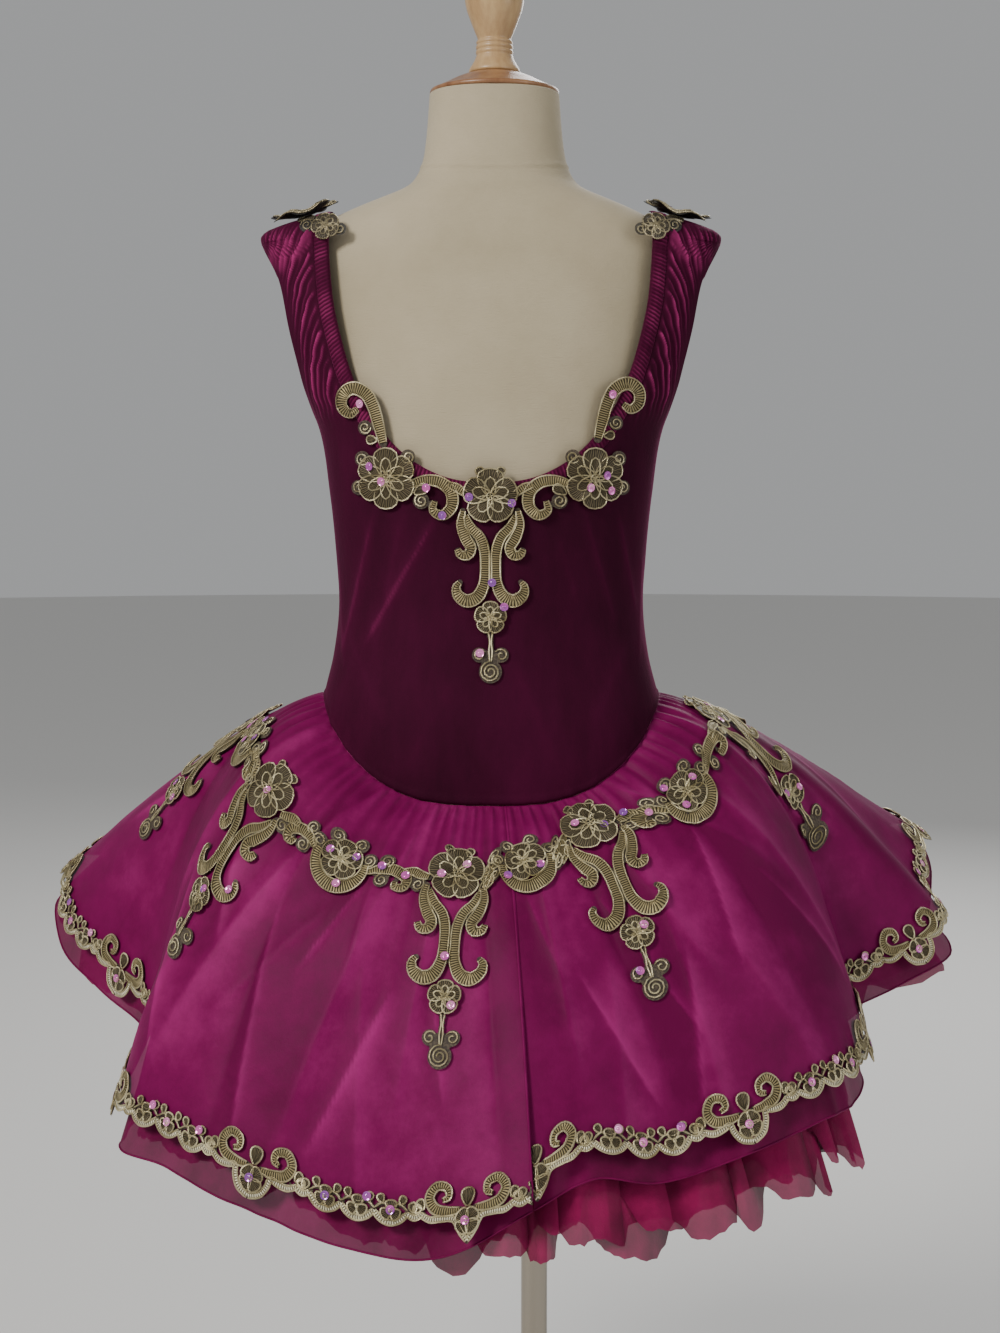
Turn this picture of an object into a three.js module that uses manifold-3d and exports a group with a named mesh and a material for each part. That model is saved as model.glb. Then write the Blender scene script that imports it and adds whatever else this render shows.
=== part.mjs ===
// A child's ballet tutu costume on a limbless dress form, in millimetres, +Z up.
// The origin is on the floor below the form's centre line. The costume's back faces -Y.
// An angle round the body is measured from the back centre (-Y) towards +X.
// Every cloth piece is a thin wall. The bodice wraps the form's sections, and all the skirt
// layers follow one surface: a curve in each direction from the waist seam to a fluted hem.
// The lace pieces are cut from a sheet that has the points of the cloth below, moved out.
import * as THREE from "three";
import { mergeVertices } from "three/addons/utils/BufferGeometryUtils.js";
import Module from "manifold-3d";

const wasm = await Module();
wasm.setup();

// ---------------------------------------------------------------- driving sizes

const SEAM_GAP = 0.3;
const COARSE_TURN = 28; // points round the form and round the inside of the bodice
const CUTTER = 250; // depth of the blocks that cut the bodice, more than half of its size
const STEP = 0.01; // share of the way down the skirt over which a direction is measured
const STEP_ANGLE = 0.5; // degrees, the same round the skirt

// Sections of the body from the bottom up: height, half-width of the form, half-depth of the
// form, and half-width of the inside of the costume, which stands off at the shoulder caps.
const SECTIONS = table("z form depth cloth", [
  [600, 104, 82, 106],
  [645, 112, 89, 114],
  [690, 116, 92, 118],
  [735, 115, 90, 117],
  [775, 106, 83, 108],
  [810, 102, 78, 104],
  [845, 104, 77, 106],
  [885, 108, 79, 110],
  [930, 115, 81, 117],
  [965, 122, 80, 133],
  [1000, 127, 76, 147],
  [1035, 131, 69, 153],
  [1055, 133, 62, 156],
  [1063, 128, 59, 155],
  [1069, 119, 57, 142],
  [1075, 107, 55, 121],
  [1081, 94, 53, 98],
  [1087, 79, 51, 83],
  [1093, 64, 50, 69],
  [1099, 56, 48, 61],
  [1111, 50, 47, 55],
  [1128, 47, 45, 52],
  [1158, 44.5, 43, 48],
]);
const FORM_BOTTOM = 600;
const NECK_TOP = 1158;
const NECK_LEAN = { forward: 9, from: 900 }; // how far the top of the neck stands from the middle
const NECK_SHIFT = { right: 2.5, from: 1050, to: 1111 };
const SQUARENESS = 2.3; // exponent of the sections: 2 is an ellipse
const CLOTH_EASE = 2; // from the form to the inside of the bodice

// Waist seam, dropped to a rounded point at the back and the front.
const SEAM_SIDE_Z = 747;
const SEAM_BACK_DROP = 64;
const SEAM_FRONT_DROP = 58;
const SEAM_ROUNDNESS = 2.8;

// Bodice
const VELVET = 2;
const SEAM_TRIM = 3; // overlap of the block that opens the wall's bottom
const BODICE_TOP = 1084;
const BAND_WIDTH = 9; // elastic band along the neckline
const BACK_SCOOP = table("z half", [
  [893, 0],
  [895.5, 24],
  [901, 40],
  [910, 55],
  [922, 68],
  [940, 81],
  [960, 91],
  [985, 99],
  [1018, 106],
  [1077, 110],
  [1130, 111],
]);
const FRONT_SCOOP = table("z half", [
  [985, 0],
  [987, 26],
  [993, 48],
  [1003, 68],
  [1018, 85],
  [1038, 98],
  [1058, 106],
  [1077, 110],
  [1130, 111],
]);
const ARMHOLE = { z: 996, halfHeight: 60, halfWidth: 37, forward: 2, steps: 22 };
const ARMHOLE_CUT = { from: 95, to: 220 }; // the block that cuts it, outward from the middle
const GATHERS = { pitch: 14, height: 2.2, slant: 0.9, from: 945, to: 1066, fade: 16 };

// Skirt: the hem's crests and troughs as angle, distance from the centre line and height.
// The two halves meet at the front, and at the back they part along the slit.
const SLIT_ANGLE = 6;
const LEFT_HEM = table("at reach z", [
  [-180, 246, 500],
  [-172, 250, 498],
  [-162, 282, 490],
  [-147, 252, 512],
  [-133, 300, 540],
  [-122, 312, 572],
  [-112, 338, 603],
  [-106, 340, 592],
  [-101, 326, 567],
  [-95, 290, 547],
  [-89, 256, 530],
  [-82, 240, 514],
  [-72, 254, 494],
  [-61, 277, 486],
  [-52, 266, 483],
  [-43, 258, 474],
  [-33, 247, 463],
  [-21, 237, 450],
  [-8, 235, 449],
  [SLIT_ANGLE, 250, 466],
]);
const RIGHT_HEM = table("at reach z", [
  [SLIT_ANGLE, 238, 478],
  [16, 234, 492],
  [26, 238, 486],
  [38, 254, 499],
  [50, 271, 513],
  [62, 275, 516],
  [74, 262, 529],
  [84, 253, 541],
  [88, 290, 555],
  [93, 330, 573],
  [99, 326, 594],
  [105, 340, 617],
  [112, 346, 628],
  [121, 316, 596],
  [131, 296, 548],
  [142, 304, 522],
  [154, 256, 508],
  [164, 278, 493],
  [172, 250, 498],
  [180, 246, 500],
]);
const ORGANZA = 1;
const SKIRT_ROWS = [0, 0.14, 0.34, 0.6, 0.905, 0.985]; // from the seam to the wall's edge
const SKIRT_BELOW_BODICE = 1.6;
const SKIRT_SLOPE = { side: 8, back: 35 }; // degrees below level where it leaves the seam
const SKIRT_SHOULDER = 0.46; // place of the curve's turning point along the way out
const SKIRT_REACH = { side: 318, back: 256 }; // mean reach of the hem
const WAIST_GATHERS = { count: 24, height: 1.5, end: 0.4 };
const UNDERSKIRT = { rows: [0.04, 0.5, 1.045], top: 4, hem: 9 };
const TULLE = { rows: [0.07, 0.6, 1], top: 10, hem: 24, waves: 24, height: 8 };
// Length of the tulle against the overskirt, by angle round the body.
const TULLE_LENGTH = table("at length", [
  [-180, 1.06],
  [-110, 1.04],
  [-60, 1],
  [-20, 1],
  [0, 1.06],
  [14, 1.13],
  [40, 1.13],
  [60, 1.12],
  [82, 1.05],
  [110, 1.04],
  [180, 1.06],
]);
const COLUMN_ANGLE = 5;

// Lace
const LACE = 1;
const LACE_LIFT = 1.6;
const GARLAND_LIFT = 1.5;
const TRIM_LIFT = 0.9;
const TRIM_SCALLOP = 0.19; // how far the trim's scallops pass the wall's edge, in trim widths
// Where the garland's pendants and rosettes are: angle, and distance down from the waist seam.
const PENDANTS = table("at down", [
  [-142, 62],
  [-98, 60],
  [-61, 64],
  [-9, 60],
  [31, 34],
  [86, 42],
  [127, 60],
  [169, 62],
]);
const ROSETTES = table("at down", [
  [-165, 62],
  [-120, 62],
  [-80, 58],
  [-38, 66],
  [10, 50],
  [56, 50],
  [108, 60],
  [148, 62],
]);
const ROSETTE = { radius: 21, hole: 4, lobes: 6 };
const LOBE_DEPTH = 0.15; // share of the radius between two lobes
// Half of the pendant: distance down from the garland's line, half-width, and half-width of
// its middle strip. open is 1 where the middle strip is cut away down to the next row.
const PENDANT = table("down half middle open", [
  [-20, 6, 2, 0],
  [-13, 17, 5, 0],
  [0, 20, 5, 0],
  [11, 12, 4, 1],
  [20, 20, 4, 0],
  [28, 18, 3, 0],
  [34, 8, 3, 0],
  [47, 8, 3, 0],
  [53, 22, 5, 0],
  [62, 25, 4, 0],
  [69, 11, 4, 0],
  [82, 11, 4, 0],
  [94, 3, 1, 0],
  [102, 3, 1, 0],
  [109, 8, 3, 0],
  [117, 3, 1, 0],
]);
const PENDANT_WIDEST = 20; // half-width of its flower, where the scrolls meet it
const SCROLL_CLEAR = 1;
// A scroll that joins a rosette to a pendant: share of the way, and its lower and upper edge.
const SCROLL = table("share low high", [
  [0, -5, 7],
  [0.3, -9, 5],
  [0.65, -4, 8],
  [1, -6, 4],
]);
const PENDANT_HEART = [[-5, 13], [0, 28], [5, 13]]; // its opening, in the same measures
const SCROLL_OUTLINE = [[-22, -6], [-7, -9], [21, -7], [22, 6], [7, 9], [-21, 7]];
const COMMA = [[2, -38], [10, -38], [9, -14], [12, 6], [3, 18], [-10, 13], [-2, -10]];
const NECK_LACE = {
  flowerZ: 880,
  rosetteX: 69,
  rosetteZ: 896,
  scrollX: 36,
  scrollZ: 884,
  commaX: 89,
  commaZ: 938,
};
const SHOULDER_LACE = { x: 132, y: -3, halfX: 21, halfY: 19, from: 1050 };

// Stand
const POLE = { x: 31, radius: 9.5, flangeRadius: 30, flange: 5 };
const BASE = { radius: 150, edge: 6, collarRadius: 22, collarTop: 24 };

// Turned wood on the neck: height above the neck's top and radius.
const NECK_CAP = table("up radius", [
  [0, 44],
  [2.5, 43],
  [6, 37],
  [10, 28],
  [14, 18.5],
]);
const FINIAL = table("up radius", [
  [14.3, 17.5],
  [18, 17],
  [23, 14],
  [27, 12.6],
  [34, 12.4],
  [36, 11.3],
  [40, 12.5],
  [50, 18],
  [62, 20],
  [74, 20.5],
  [83, 17],
  [89, 10],
  [92, 7.5],
  [96, 7.5],
  [99, 3.5],
]);

const LOOKS = {
  velvet: { color: 0x5a0f32, roughness: 0.75, metalness: 0 },
  band: { color: 0x4c0c2b, roughness: 0.85, metalness: 0 },
  organza: { color: 0x8c1f5a, roughness: 0.4, metalness: 0 },
  tulle: { color: 0x8c2450, roughness: 0.7, metalness: 0 },
  lace: { color: 0x9b8f6c, roughness: 0.45, metalness: 0.4 },
  linen: { color: 0xc8b896, roughness: 0.9, metalness: 0 },
  wood: { color: 0xa9804f, roughness: 0.4, metalness: 0 },
  chrome: { color: 0xc8c8c8, roughness: 0.15, metalness: 1 },
};

// ---------------------------------------------------------------- tables and curves

function table(columns, rows) {
  const names = columns.split(" ");
  return rows.map((row) => Object.fromEntries(names.map((name, i) => [name, row[i]])));
}

const radians = THREE.MathUtils.degToRad;
const { lerp, smoothstep } = THREE.MathUtils;

// The pair of rows around a value of the key column, and how far it is between them.
function between(rows, key, value) {
  let i = 0;
  while (i < rows.length - 2 && rows[i + 1][key] < value) i += 1;
  const share = (value - rows[i][key]) / (rows[i + 1][key] - rows[i][key]);
  return [i, THREE.MathUtils.clamp(share, 0, 1)];
}

// A smooth curve through a column of the table (cubic, with slopes taken from neighbours).
function smooth(rows, key, column, value) {
  const [i, u] = between(rows, key, value);
  const slope = (k) => {
    const low = rows[Math.max(k - 1, 0)];
    const high = rows[Math.min(k + 1, rows.length - 1)];
    return (high[column] - low[column]) / (high[key] - low[key]);
  };
  const step = rows[i + 1][key] - rows[i][key];
  return (
    rows[i][column] * (1 + 2 * u) * (1 - u) ** 2 +
    rows[i + 1][column] * u * u * (3 - 2 * u) +
    slope(i) * step * u * (1 - u) ** 2 +
    slope(i + 1) * step * u * u * (u - 1)
  );
}

// ---------------------------------------------------------------- closed meshes

function geometry(points, triangles) {
  const result = new THREE.BufferGeometry().setFromPoints(points);
  return result.setIndex(triangles.flat());
}

// A closed wall between two grids of points, which have the same rows and columns. Cells that
// open(row, column) names are left out, and the wall is closed round them. A ring's last
// column joins its first.
function wallBetween(inside, outside, { open = () => false, ring = false } = {}) {
  const rows = outside.length;
  const columns = outside[0].length;
  const cells = ring ? columns : columns - 1;
  const points = [...outside.flat(), ...inside.flat()];
  const out = (r, c) => r * columns + (c % columns);
  const back = (r, c) => (rows + r) * columns + (c % columns);
  const beside = (c) => !ring && (c < 0 || c >= cells);
  const missing = (r, c) => r < 0 || r >= rows - 1 || beside(c) || open(r, c);
  const triangles = [];
  const rim = ([ra, ca], [rb, cb]) => triangles.push(
    [out(ra, ca), back(ra, ca), back(rb, cb)], [out(ra, ca), back(rb, cb), out(rb, cb)]);
  for (let r = 0; r < rows - 1; r++) {
    for (let c = 0; c < cells; c++) {
      if (missing(r, c)) continue;
      triangles.push([out(r, c), out(r + 1, c), out(r + 1, c + 1)]);
      triangles.push([out(r, c), out(r + 1, c + 1), out(r, c + 1)]);
      triangles.push([back(r, c), back(r + 1, c + 1), back(r + 1, c)]);
      triangles.push([back(r, c), back(r, c + 1), back(r + 1, c + 1)]);
      if (missing(r - 1, c)) rim([r, c + 1], [r, c]);
      if (missing(r + 1, c)) rim([r + 1, c], [r + 1, c + 1]);
      if (missing(r, c - 1)) rim([r, c], [r + 1, c]);
      if (missing(r, c + 1)) rim([r + 1, c + 1], [r, c + 1]);
    }
  }
  return geometry(points, triangles);
}

// A closed solid through rings of points, with a flat fan over each end.
function loft(rings) {
  const count = rings[0].length;
  const points = rings.flat();
  const triangles = [];
  for (let r = 0; r < rings.length - 1; r++) {
    for (let c = 0; c < count; c++) {
      const next = (c + 1) % count;
      const [a, b] = [r * count + c, r * count + next];
      triangles.push([a, b, b + count], [a, b + count, a + count]);
    }
  }
  for (const [ring, upper] of [[0, false], [rings.length - 1, true]]) {
    const middle = new THREE.Vector3();
    for (const point of rings[ring]) middle.addScaledVector(point, 1 / count);
    points.push(middle);
    for (let c = 0; c < count; c++) {
      const [a, b] = [ring * count + c, ring * count + ((c + 1) % count)];
      triangles.push(upper ? [a, b, points.length - 1] : [b, a, points.length - 1]);
    }
  }
  return geometry(points, triangles);
}

function solid(source) {
  const bare = source.clone();
  bare.deleteAttribute("normal");
  bare.deleteAttribute("uv");
  const merged = mergeVertices(bare);
  const vertProperties = new Float32Array(merged.attributes.position.array);
  const triVerts = new Uint32Array(merged.index.array);
  return new wasm.Manifold(new wasm.Mesh({ numProp: 3, vertProperties, triVerts }));
}

function fromSolid(body) {
  const mesh = body.getMesh();
  const result = new THREE.BufferGeometry();
  result.setAttribute("position", new THREE.BufferAttribute(mesh.vertProperties, 3));
  return result.setIndex(new THREE.BufferAttribute(mesh.triVerts, 1));
}

// The outline extruded both ways along its normal, placed by a matrix.
function prism(outline, holes, from, to, matrix) {
  const shape = new THREE.Shape(outline);
  shape.holes = holes.map((hole) => new THREE.Path(hole));
  const block = new THREE.ExtrudeGeometry(shape, { depth: to - from, bevelEnabled: false });
  return solid(block.translate(0, 0, from).applyMatrix4(matrix));
}

const group = new THREE.Group();

function add(name, shape, look) {
  const mesh = new THREE.Mesh(shape, new THREE.MeshStandardMaterial(LOOKS[look]));
  mesh.name = name;
  group.add(mesh);
}

// ---------------------------------------------------------------- the body's sections

// A point of the section at height z: a rounded oblong, with its angle from the back.
function sectionPoint(angle, z, halfWidth, halfDepth) {
  const power = 2 / SQUARENESS;
  const lean = NECK_LEAN.forward * smoothstep(z, NECK_LEAN.from, NECK_TOP);
  const shift = NECK_SHIFT.right * smoothstep(z, NECK_SHIFT.from, NECK_SHIFT.to);
  const side = Math.sin(angle);
  const back = Math.cos(angle);
  return new THREE.Vector3(
    shift + halfWidth * Math.sign(side) * Math.abs(side) ** power,
    lean - halfDepth * Math.sign(back) * Math.abs(back) ** power,
    z,
  );
}

function formPoint(angle, z) {
  return sectionPoint(angle, z, smooth(SECTIONS, "z", "form", z), smooth(SECTIONS, "z", "depth", z));
}

function clothPoint(angle, z, offset) {
  const halfWidth = smooth(SECTIONS, "z", "cloth", z) + offset;
  return sectionPoint(angle, z, halfWidth, smooth(SECTIONS, "z", "depth", z) + CLOTH_EASE + offset);
}

function seamHeight(angle) {
  const drop = Math.cos(angle) > 0 ? SEAM_BACK_DROP : SEAM_FRONT_DROP;
  return SEAM_SIDE_Z - drop * (1 - Math.abs(Math.sin(angle)) ** SEAM_ROUNDNESS);
}

// Evenly spaced angles round the body.
const turn = (count) => Array.from({ length: count }, (_, i) => (2 * Math.PI * i) / count);
const steps = (from, to, count) => Array.from({ length: count + 1 }, (_, i) => lerp(from, to, i / count));

// ---------------------------------------------------------------- the dress form and its stand

function buildForm() {
  const heights = SECTIONS.map((row) => row.z);
  const rings = heights.map((z) => turn(COARSE_TURN).map((angle) => formPoint(angle, z)));
  add("form_torso", loft(rings), "linen");

  const neck = new THREE.Vector3(NECK_SHIFT.right, NECK_LEAN.forward, NECK_TOP);
  for (const [name, rows] of [["form_neck_cap", NECK_CAP], ["form_finial", FINIAL]]) {
    const profile = rows.map((row) => new THREE.Vector2(row.radius, row.up));
    profile.unshift(new THREE.Vector2(0, rows[0].up));
    profile.push(new THREE.Vector2(0, rows.at(-1).up));
    const wood = new THREE.LatheGeometry(profile, 16).rotateX(Math.PI / 2);
    add(name, wood.translate(neck.x, neck.y, neck.z + SEAM_GAP), "wood");
  }
}

function buildStand() {
  const lathe = (rows) => {
    const profile = rows.map(([radius, z]) => new THREE.Vector2(radius, z));
    return new THREE.LatheGeometry(profile, 24).rotateX(Math.PI / 2).translate(POLE.x, 0, 0);
  };
  const top = FORM_BOTTOM - SEAM_GAP;
  const foot = BASE.collarTop + SEAM_GAP;
  const flange = top - POLE.flange;
  add(
    "stand_pole",
    lathe([[0, foot], [POLE.radius, foot], [POLE.radius, flange], [POLE.flangeRadius, flange],
      [POLE.flangeRadius, top], [0, top]]),
    "chrome",
  );
  add(
    "stand_base",
    lathe([[0, 0], [BASE.radius, 0], [BASE.radius, BASE.edge], [BASE.collarRadius + 8, BASE.edge + 4],
      [BASE.collarRadius, BASE.collarTop - 4], [BASE.collarRadius - 6, BASE.collarTop],
      [0, BASE.collarTop]]),
    "chrome",
  );
}

// ---------------------------------------------------------------- the bodice

function scoopHalf(rows, z) {
  return z < rows[0].z ? 0 : smooth(rows, "z", "half", z);
}

// Height of the diagonal gathers on the straps, outside the neckline's band.
function gatherHeight(point) {
  const rows = point.y < 0 ? BACK_SCOOP : FRONT_SCOOP;
  const across = Math.abs(point.x) - scoopHalf(rows, point.z) - BAND_WIDTH;
  const fold = 0.5 + 0.5 * Math.cos((2 * Math.PI * (point.z + GATHERS.slant * across)) / GATHERS.pitch);
  const rise = smoothstep(point.z, GATHERS.from, GATHERS.from + GATHERS.fade);
  const fall = 1 - smoothstep(point.z, GATHERS.to - GATHERS.fade, GATHERS.to);
  return GATHERS.height * fold * rise * fall * smoothstep(across, 0, 8);
}

// A closed solid whose outside is the cloth's outside at this offset, over the whole bodice.
function bodiceSolid(offset, angles, heights, gathered) {
  const ring = (height) => angles.map((angle) => {
    const z = height(angle);
    const fold = gathered ? gatherHeight(clothPoint(angle, z, offset)) : 0;
    return clothPoint(angle, z, offset + fold);
  });
  const lower = steps(0, 1, 5).map((share) => ring((angle) => lerp(seamHeight(angle), heights[0], share)));
  return loft([...lower, ...heights.slice(1).map((z) => ring(() => z))]);
}

function bodiceAngles() {
  const quarter = [0, 15, 30, 41, 49, 57, 66, 78];
  const degrees = [0, 90, 180, 270].flatMap((start, i) =>
    quarter.map((_, k) => (i % 2 ? start + 90 - (k ? quarter.at(-k) : 90) : start + quarter[k])),
  );
  return degrees.map(radians);
}

const FINE_HEIGHTS = [925, ...steps(935, 1056, 24), 1063, 1069, 1075, BODICE_TOP];
const COARSE_HEIGHTS = [925, 945, 965, 1000, 1035, 1055, 1063, 1069, 1075, 1081, BODICE_TOP + 7];
const OUTER_ANGLES = bodiceAngles();

// The neckline in the XZ plane, moved out by a margin, as a closed outline.
function scoopOutline(rows, margin) {
  const right = rows.map((row, i) => {
    const before = rows[Math.max(i - 1, 0)];
    const after = rows[Math.min(i + 1, rows.length - 1)];
    const out = new THREE.Vector2(after.z - before.z, before.half - after.half).normalize();
    if (i === 0) out.set(0, -1);
    return new THREE.Vector2(row.half, row.z).addScaledVector(out, margin);
  });
  const left = right.slice(1).map((point) => new THREE.Vector2(-point.x, point.y)).reverse();
  return [...right, ...left];
}

// The neckline as a block through the back (facing -1) or the front (facing 1).
function scoopBlock(rows, margin, facing) {
  const upright = new THREE.Matrix4().makeRotationX(Math.PI / 2);
  const [from, to] = facing < 0 ? [0, CUTTER] : [-CUTTER, 0];
  return prism(scoopOutline(rows, margin), [], from, to, upright);
}

function armholeBlocks() {
  const outline = turn(ARMHOLE.steps).map((angle) => new THREE.Vector2(
    ARMHOLE.halfWidth * Math.sin(angle) + ARMHOLE.forward,
    ARMHOLE.z + ARMHOLE.halfHeight * Math.cos(angle),
  )).reverse();
  const sideways = new THREE.Matrix4().makeBasis(
    new THREE.Vector3(0, 1, 0), new THREE.Vector3(0, 0, 1), new THREE.Vector3(1, 0, 0));
  const { from, to } = ARMHOLE_CUT;
  return prism(outline, [], from, to, sideways).add(prism(outline, [], -to, -from, sideways));
}

function halfSpace(facing) {
  const box = new THREE.BoxGeometry(2 * CUTTER, CUTTER, NECK_TOP);
  return solid(box.translate(0, (facing * (CUTTER + SEAM_GAP)) / 2, NECK_TOP));
}

function buildBodice() {
  const outer = solid(bodiceSolid(VELVET, OUTER_ANGLES, FINE_HEIGHTS, true));
  const inner = solid(bodiceSolid(0, turn(COARSE_TURN), COARSE_HEIGHTS, false));
  const plain = solid(bodiceSolid(VELVET, turn(COARSE_TURN), COARSE_HEIGHTS.slice(0, -1), false));
  const below = solid(loft([-CUTTER / 4, SEAM_TRIM].map((up) =>
    turn(COARSE_TURN).map((angle) => clothPoint(angle, seamHeight(angle) + up, 0)))));
  const wall = outer.subtract(inner.add(below)).subtract(armholeBlocks());
  for (const [side, rows, facing] of [["back", BACK_SCOOP, -1], ["front", FRONT_SCOOP, 1]]) {
    const panel = wall.intersect(halfSpace(facing));
    const cut = panel.subtract(scoopBlock(rows, BAND_WIDTH, facing));
    add("bodice_" + side, fromSolid(cut), "velvet");
    const ring = scoopBlock(rows, BAND_WIDTH - SEAM_GAP, facing).subtract(scoopBlock(rows, 0, facing));
    const edge = plain.subtract(inner).intersect(halfSpace(facing)).intersect(ring);
    add("neck_band_" + side, fromSolid(edge), "band");
  }
}

// ---------------------------------------------------------------- the skirt

// The angle of the section's point that lies in a given direction.
function seamAngle(direction) {
  const stretch = (side, half) => Math.sign(side) * Math.abs(side * half) ** (SQUARENESS / 2);
  const seam = SECTIONS.find((row) => row.z > SEAM_SIDE_Z - SEAM_BACK_DROP);
  return Math.atan2(stretch(Math.sin(direction), seam.depth), stretch(Math.cos(direction), seam.cloth));
}

// A point of the skirt in a direction (degrees): a curve of second order from the waist seam
// (t = 0) through a turning point to the hem (t = 1), which past 1 runs on.
function skirtPoint(degrees, t, hem) {
  const direction = radians(degrees);
  const outward = new THREE.Vector3(Math.sin(direction), -Math.cos(direction), 0);
  const angle = seamAngle(direction);
  const start = clothPoint(angle, seamHeight(angle) - SKIRT_BELOW_BODICE, VELVET / 2);
  const sideways = Math.sin(direction) ** 2;
  const slope = radians(lerp(SKIRT_SLOPE.back, SKIRT_SLOPE.side, sideways));
  const run = SKIRT_SHOULDER * (lerp(SKIRT_REACH.back, SKIRT_REACH.side, sideways) - start.dot(outward));
  const turning = start.clone().addScaledVector(outward, run);
  turning.z -= run * Math.tan(slope);
  const end = outward.clone().multiplyScalar(smooth(hem, "at", "reach", degrees));
  end.z = smooth(hem, "at", "z", degrees);
  const fade = t < WAIST_GATHERS.end ? Math.sin((Math.PI * t) / WAIST_GATHERS.end) ** 2 : 0;
  return start.multiplyScalar((1 - t) ** 2)
    .addScaledVector(turning, 2 * t * (1 - t))
    .addScaledVector(end, t * t)
    .addScaledVector(outward, WAIST_GATHERS.height * fade * Math.cos(WAIST_GATHERS.count * direction));
}

function skirtNormal(degrees, t, hem) {
  const down = skirtPoint(degrees, t + STEP, hem).sub(skirtPoint(degrees, t - STEP, hem));
  const round = skirtPoint(degrees + STEP_ANGLE, t, hem).sub(skirtPoint(degrees - STEP_ANGLE, t, hem));
  return down.cross(round).normalize();
}

// Points of a layer with their normals. inset says how far the layer lies inside the overskirt.
function layerGrid(hem, columns, rows, inset, length) {
  return rows.map((row) => columns.map((degrees) => {
    const t = row * length(degrees);
    const normal = skirtNormal(degrees, t, hem);
    const point = skirtPoint(degrees, t, hem).addScaledVector(normal, -inset(t, degrees));
    return { point, normal };
  }));
}

function raised(grid, height) {
  return grid.map((row) => row.map(({ point, normal }) => point.clone().addScaledVector(normal, height)));
}

const layerWall = (grid, low, high) => wallBetween(raised(grid, low), raised(grid, high));

const always = (value) => () => value;
const HALVES = [
  { side: "left", hem: LEFT_HEM, from: -180, to: SLIT_ANGLE },
  { side: "right", hem: RIGHT_HEM, from: SLIT_ANGLE, to: 180 },
];
const SPLIT = 0.1; // degrees that each half stays clear of the other

function halfColumns({ from, to }, columnAngle) {
  return steps(from + SPLIT, to - SPLIT, Math.round((to - from) / columnAngle));
}

// The trim is a band on the wall's last strip. It has a column between each two of the wall's,
// and its lower edge swings out past the wall in scallops.
function trimWall(grid) {
  const [upper, lower] = grid.slice(-2);
  const middle = (row) => row.flatMap((cell, i) => {
    if (i === row.length - 1) return [cell];
    const next = row[i + 1];
    const normal = cell.normal.clone().add(next.normal).multiplyScalar(0.5);
    return [cell, { point: cell.point.clone().lerp(next.point, 0.5), normal }];
  });
  const [top, bottom] = [middle(upper), middle(lower)];
  const edge = bottom.map(({ point, normal }, i) => {
    const past = i % 2 ? TRIM_SCALLOP : 0;
    return { point: point.clone().lerp(top[i].point, -past), normal };
  });
  const base = ORGANZA / 2 + TRIM_LIFT;
  return layerWall([top, edge], base, base + LACE);
}

function buildSkirt() {
  const underHem = [...LEFT_HEM.slice(0, -1), ...RIGHT_HEM];
  const half = ORGANZA / 2;
  for (const part of HALVES) {
    const columns = halfColumns(part, COLUMN_ANGLE);
    const grid = layerGrid(part.hem, columns, SKIRT_ROWS, always(0), always(1));
    add("overskirt_" + part.side, layerWall(grid, -half, half), "organza");
    add("hem_trim_" + part.side, trimWall(grid), "lace");

    const inset = (t) => lerp(UNDERSKIRT.top, UNDERSKIRT.hem, t);
    const under = layerGrid(underHem, columns, UNDERSKIRT.rows, inset, always(1));
    add("underskirt_" + part.side, layerWall(under, -half, half), "organza");

    const ruffle = (t, degrees) =>
      lerp(TULLE.top, TULLE.hem, t) -
      TULLE.height * smoothstep(t, 0.3, 1.25) * Math.cos(TULLE.waves * radians(degrees));
    const fine = halfColumns(part, 90 / TULLE.waves);
    const length = (degrees) => smooth(TULLE_LENGTH, "at", "length", degrees);
    const tulle = layerGrid(underHem, fine, TULLE.rows, ruffle, length);
    add("tulle_" + part.side, layerWall(tulle, -half, half), "tulle");
  }
}

// ---------------------------------------------------------------- the lace

const mirrored = (rows) => [
  ...rows.map((row) => new THREE.Vector2(row.half, -row.down)),
  ...rows.toReversed().map((row) => new THREE.Vector2(-row.half, -row.down)),
].reverse();

const PENDANT_OUTLINE = mirrored(PENDANT);
const plane = (points) => points.map(([x, y]) => new THREE.Vector2(x, y));
const PENDANT_HOLES = [PENDANT_HEART.map(([x, down]) => new THREE.Vector2(x, -down))];

// A round outline with lobes, about a centre.
function lobed(x, y, radiusX, radiusY, lobes, perLobe) {
  return turn(lobes * perLobe).map((angle) => {
    const swell = 1 - LOBE_DEPTH * Math.abs(Math.cos((lobes * angle) / 2));
    return new THREE.Vector2(x + radiusX * swell * Math.cos(angle), y + radiusY * swell * Math.sin(angle));
  });
}

// Goes down the skirt from the waist seam by a length, and gives the t that it comes to.
function slopeTo(hem, degrees, length) {
  const count = 12;
  let t = 0;
  for (let i = 0; i < count; i++) {
    const speed = skirtPoint(degrees, t + STEP, hem).distanceTo(skirtPoint(degrees, t, hem)) / STEP;
    t += length / count / speed;
  }
  return t;
}

// A place on the cloth, x along the hem from a direction and down from the waist seam.
function onSkirt(hem, degrees, x, down) {
  const middle = skirtPoint(degrees, slopeTo(hem, degrees, down), hem);
  const at = degrees + THREE.MathUtils.radToDeg(x / Math.hypot(middle.x, middle.y));
  const t = slopeTo(hem, at, down);
  return { point: skirtPoint(at, t, hem), normal: skirtNormal(at, t, hem) };
}

function laceWall(grid, options) {
  const base = ORGANZA / 2 + GARLAND_LIFT;
  return wallBetween(raised(grid, base), raised(grid, base + LACE), options);
}

const hemAt = (degrees) => (degrees < SLIT_ANGLE || degrees > 180 ? LEFT_HEM : RIGHT_HEM);

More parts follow.
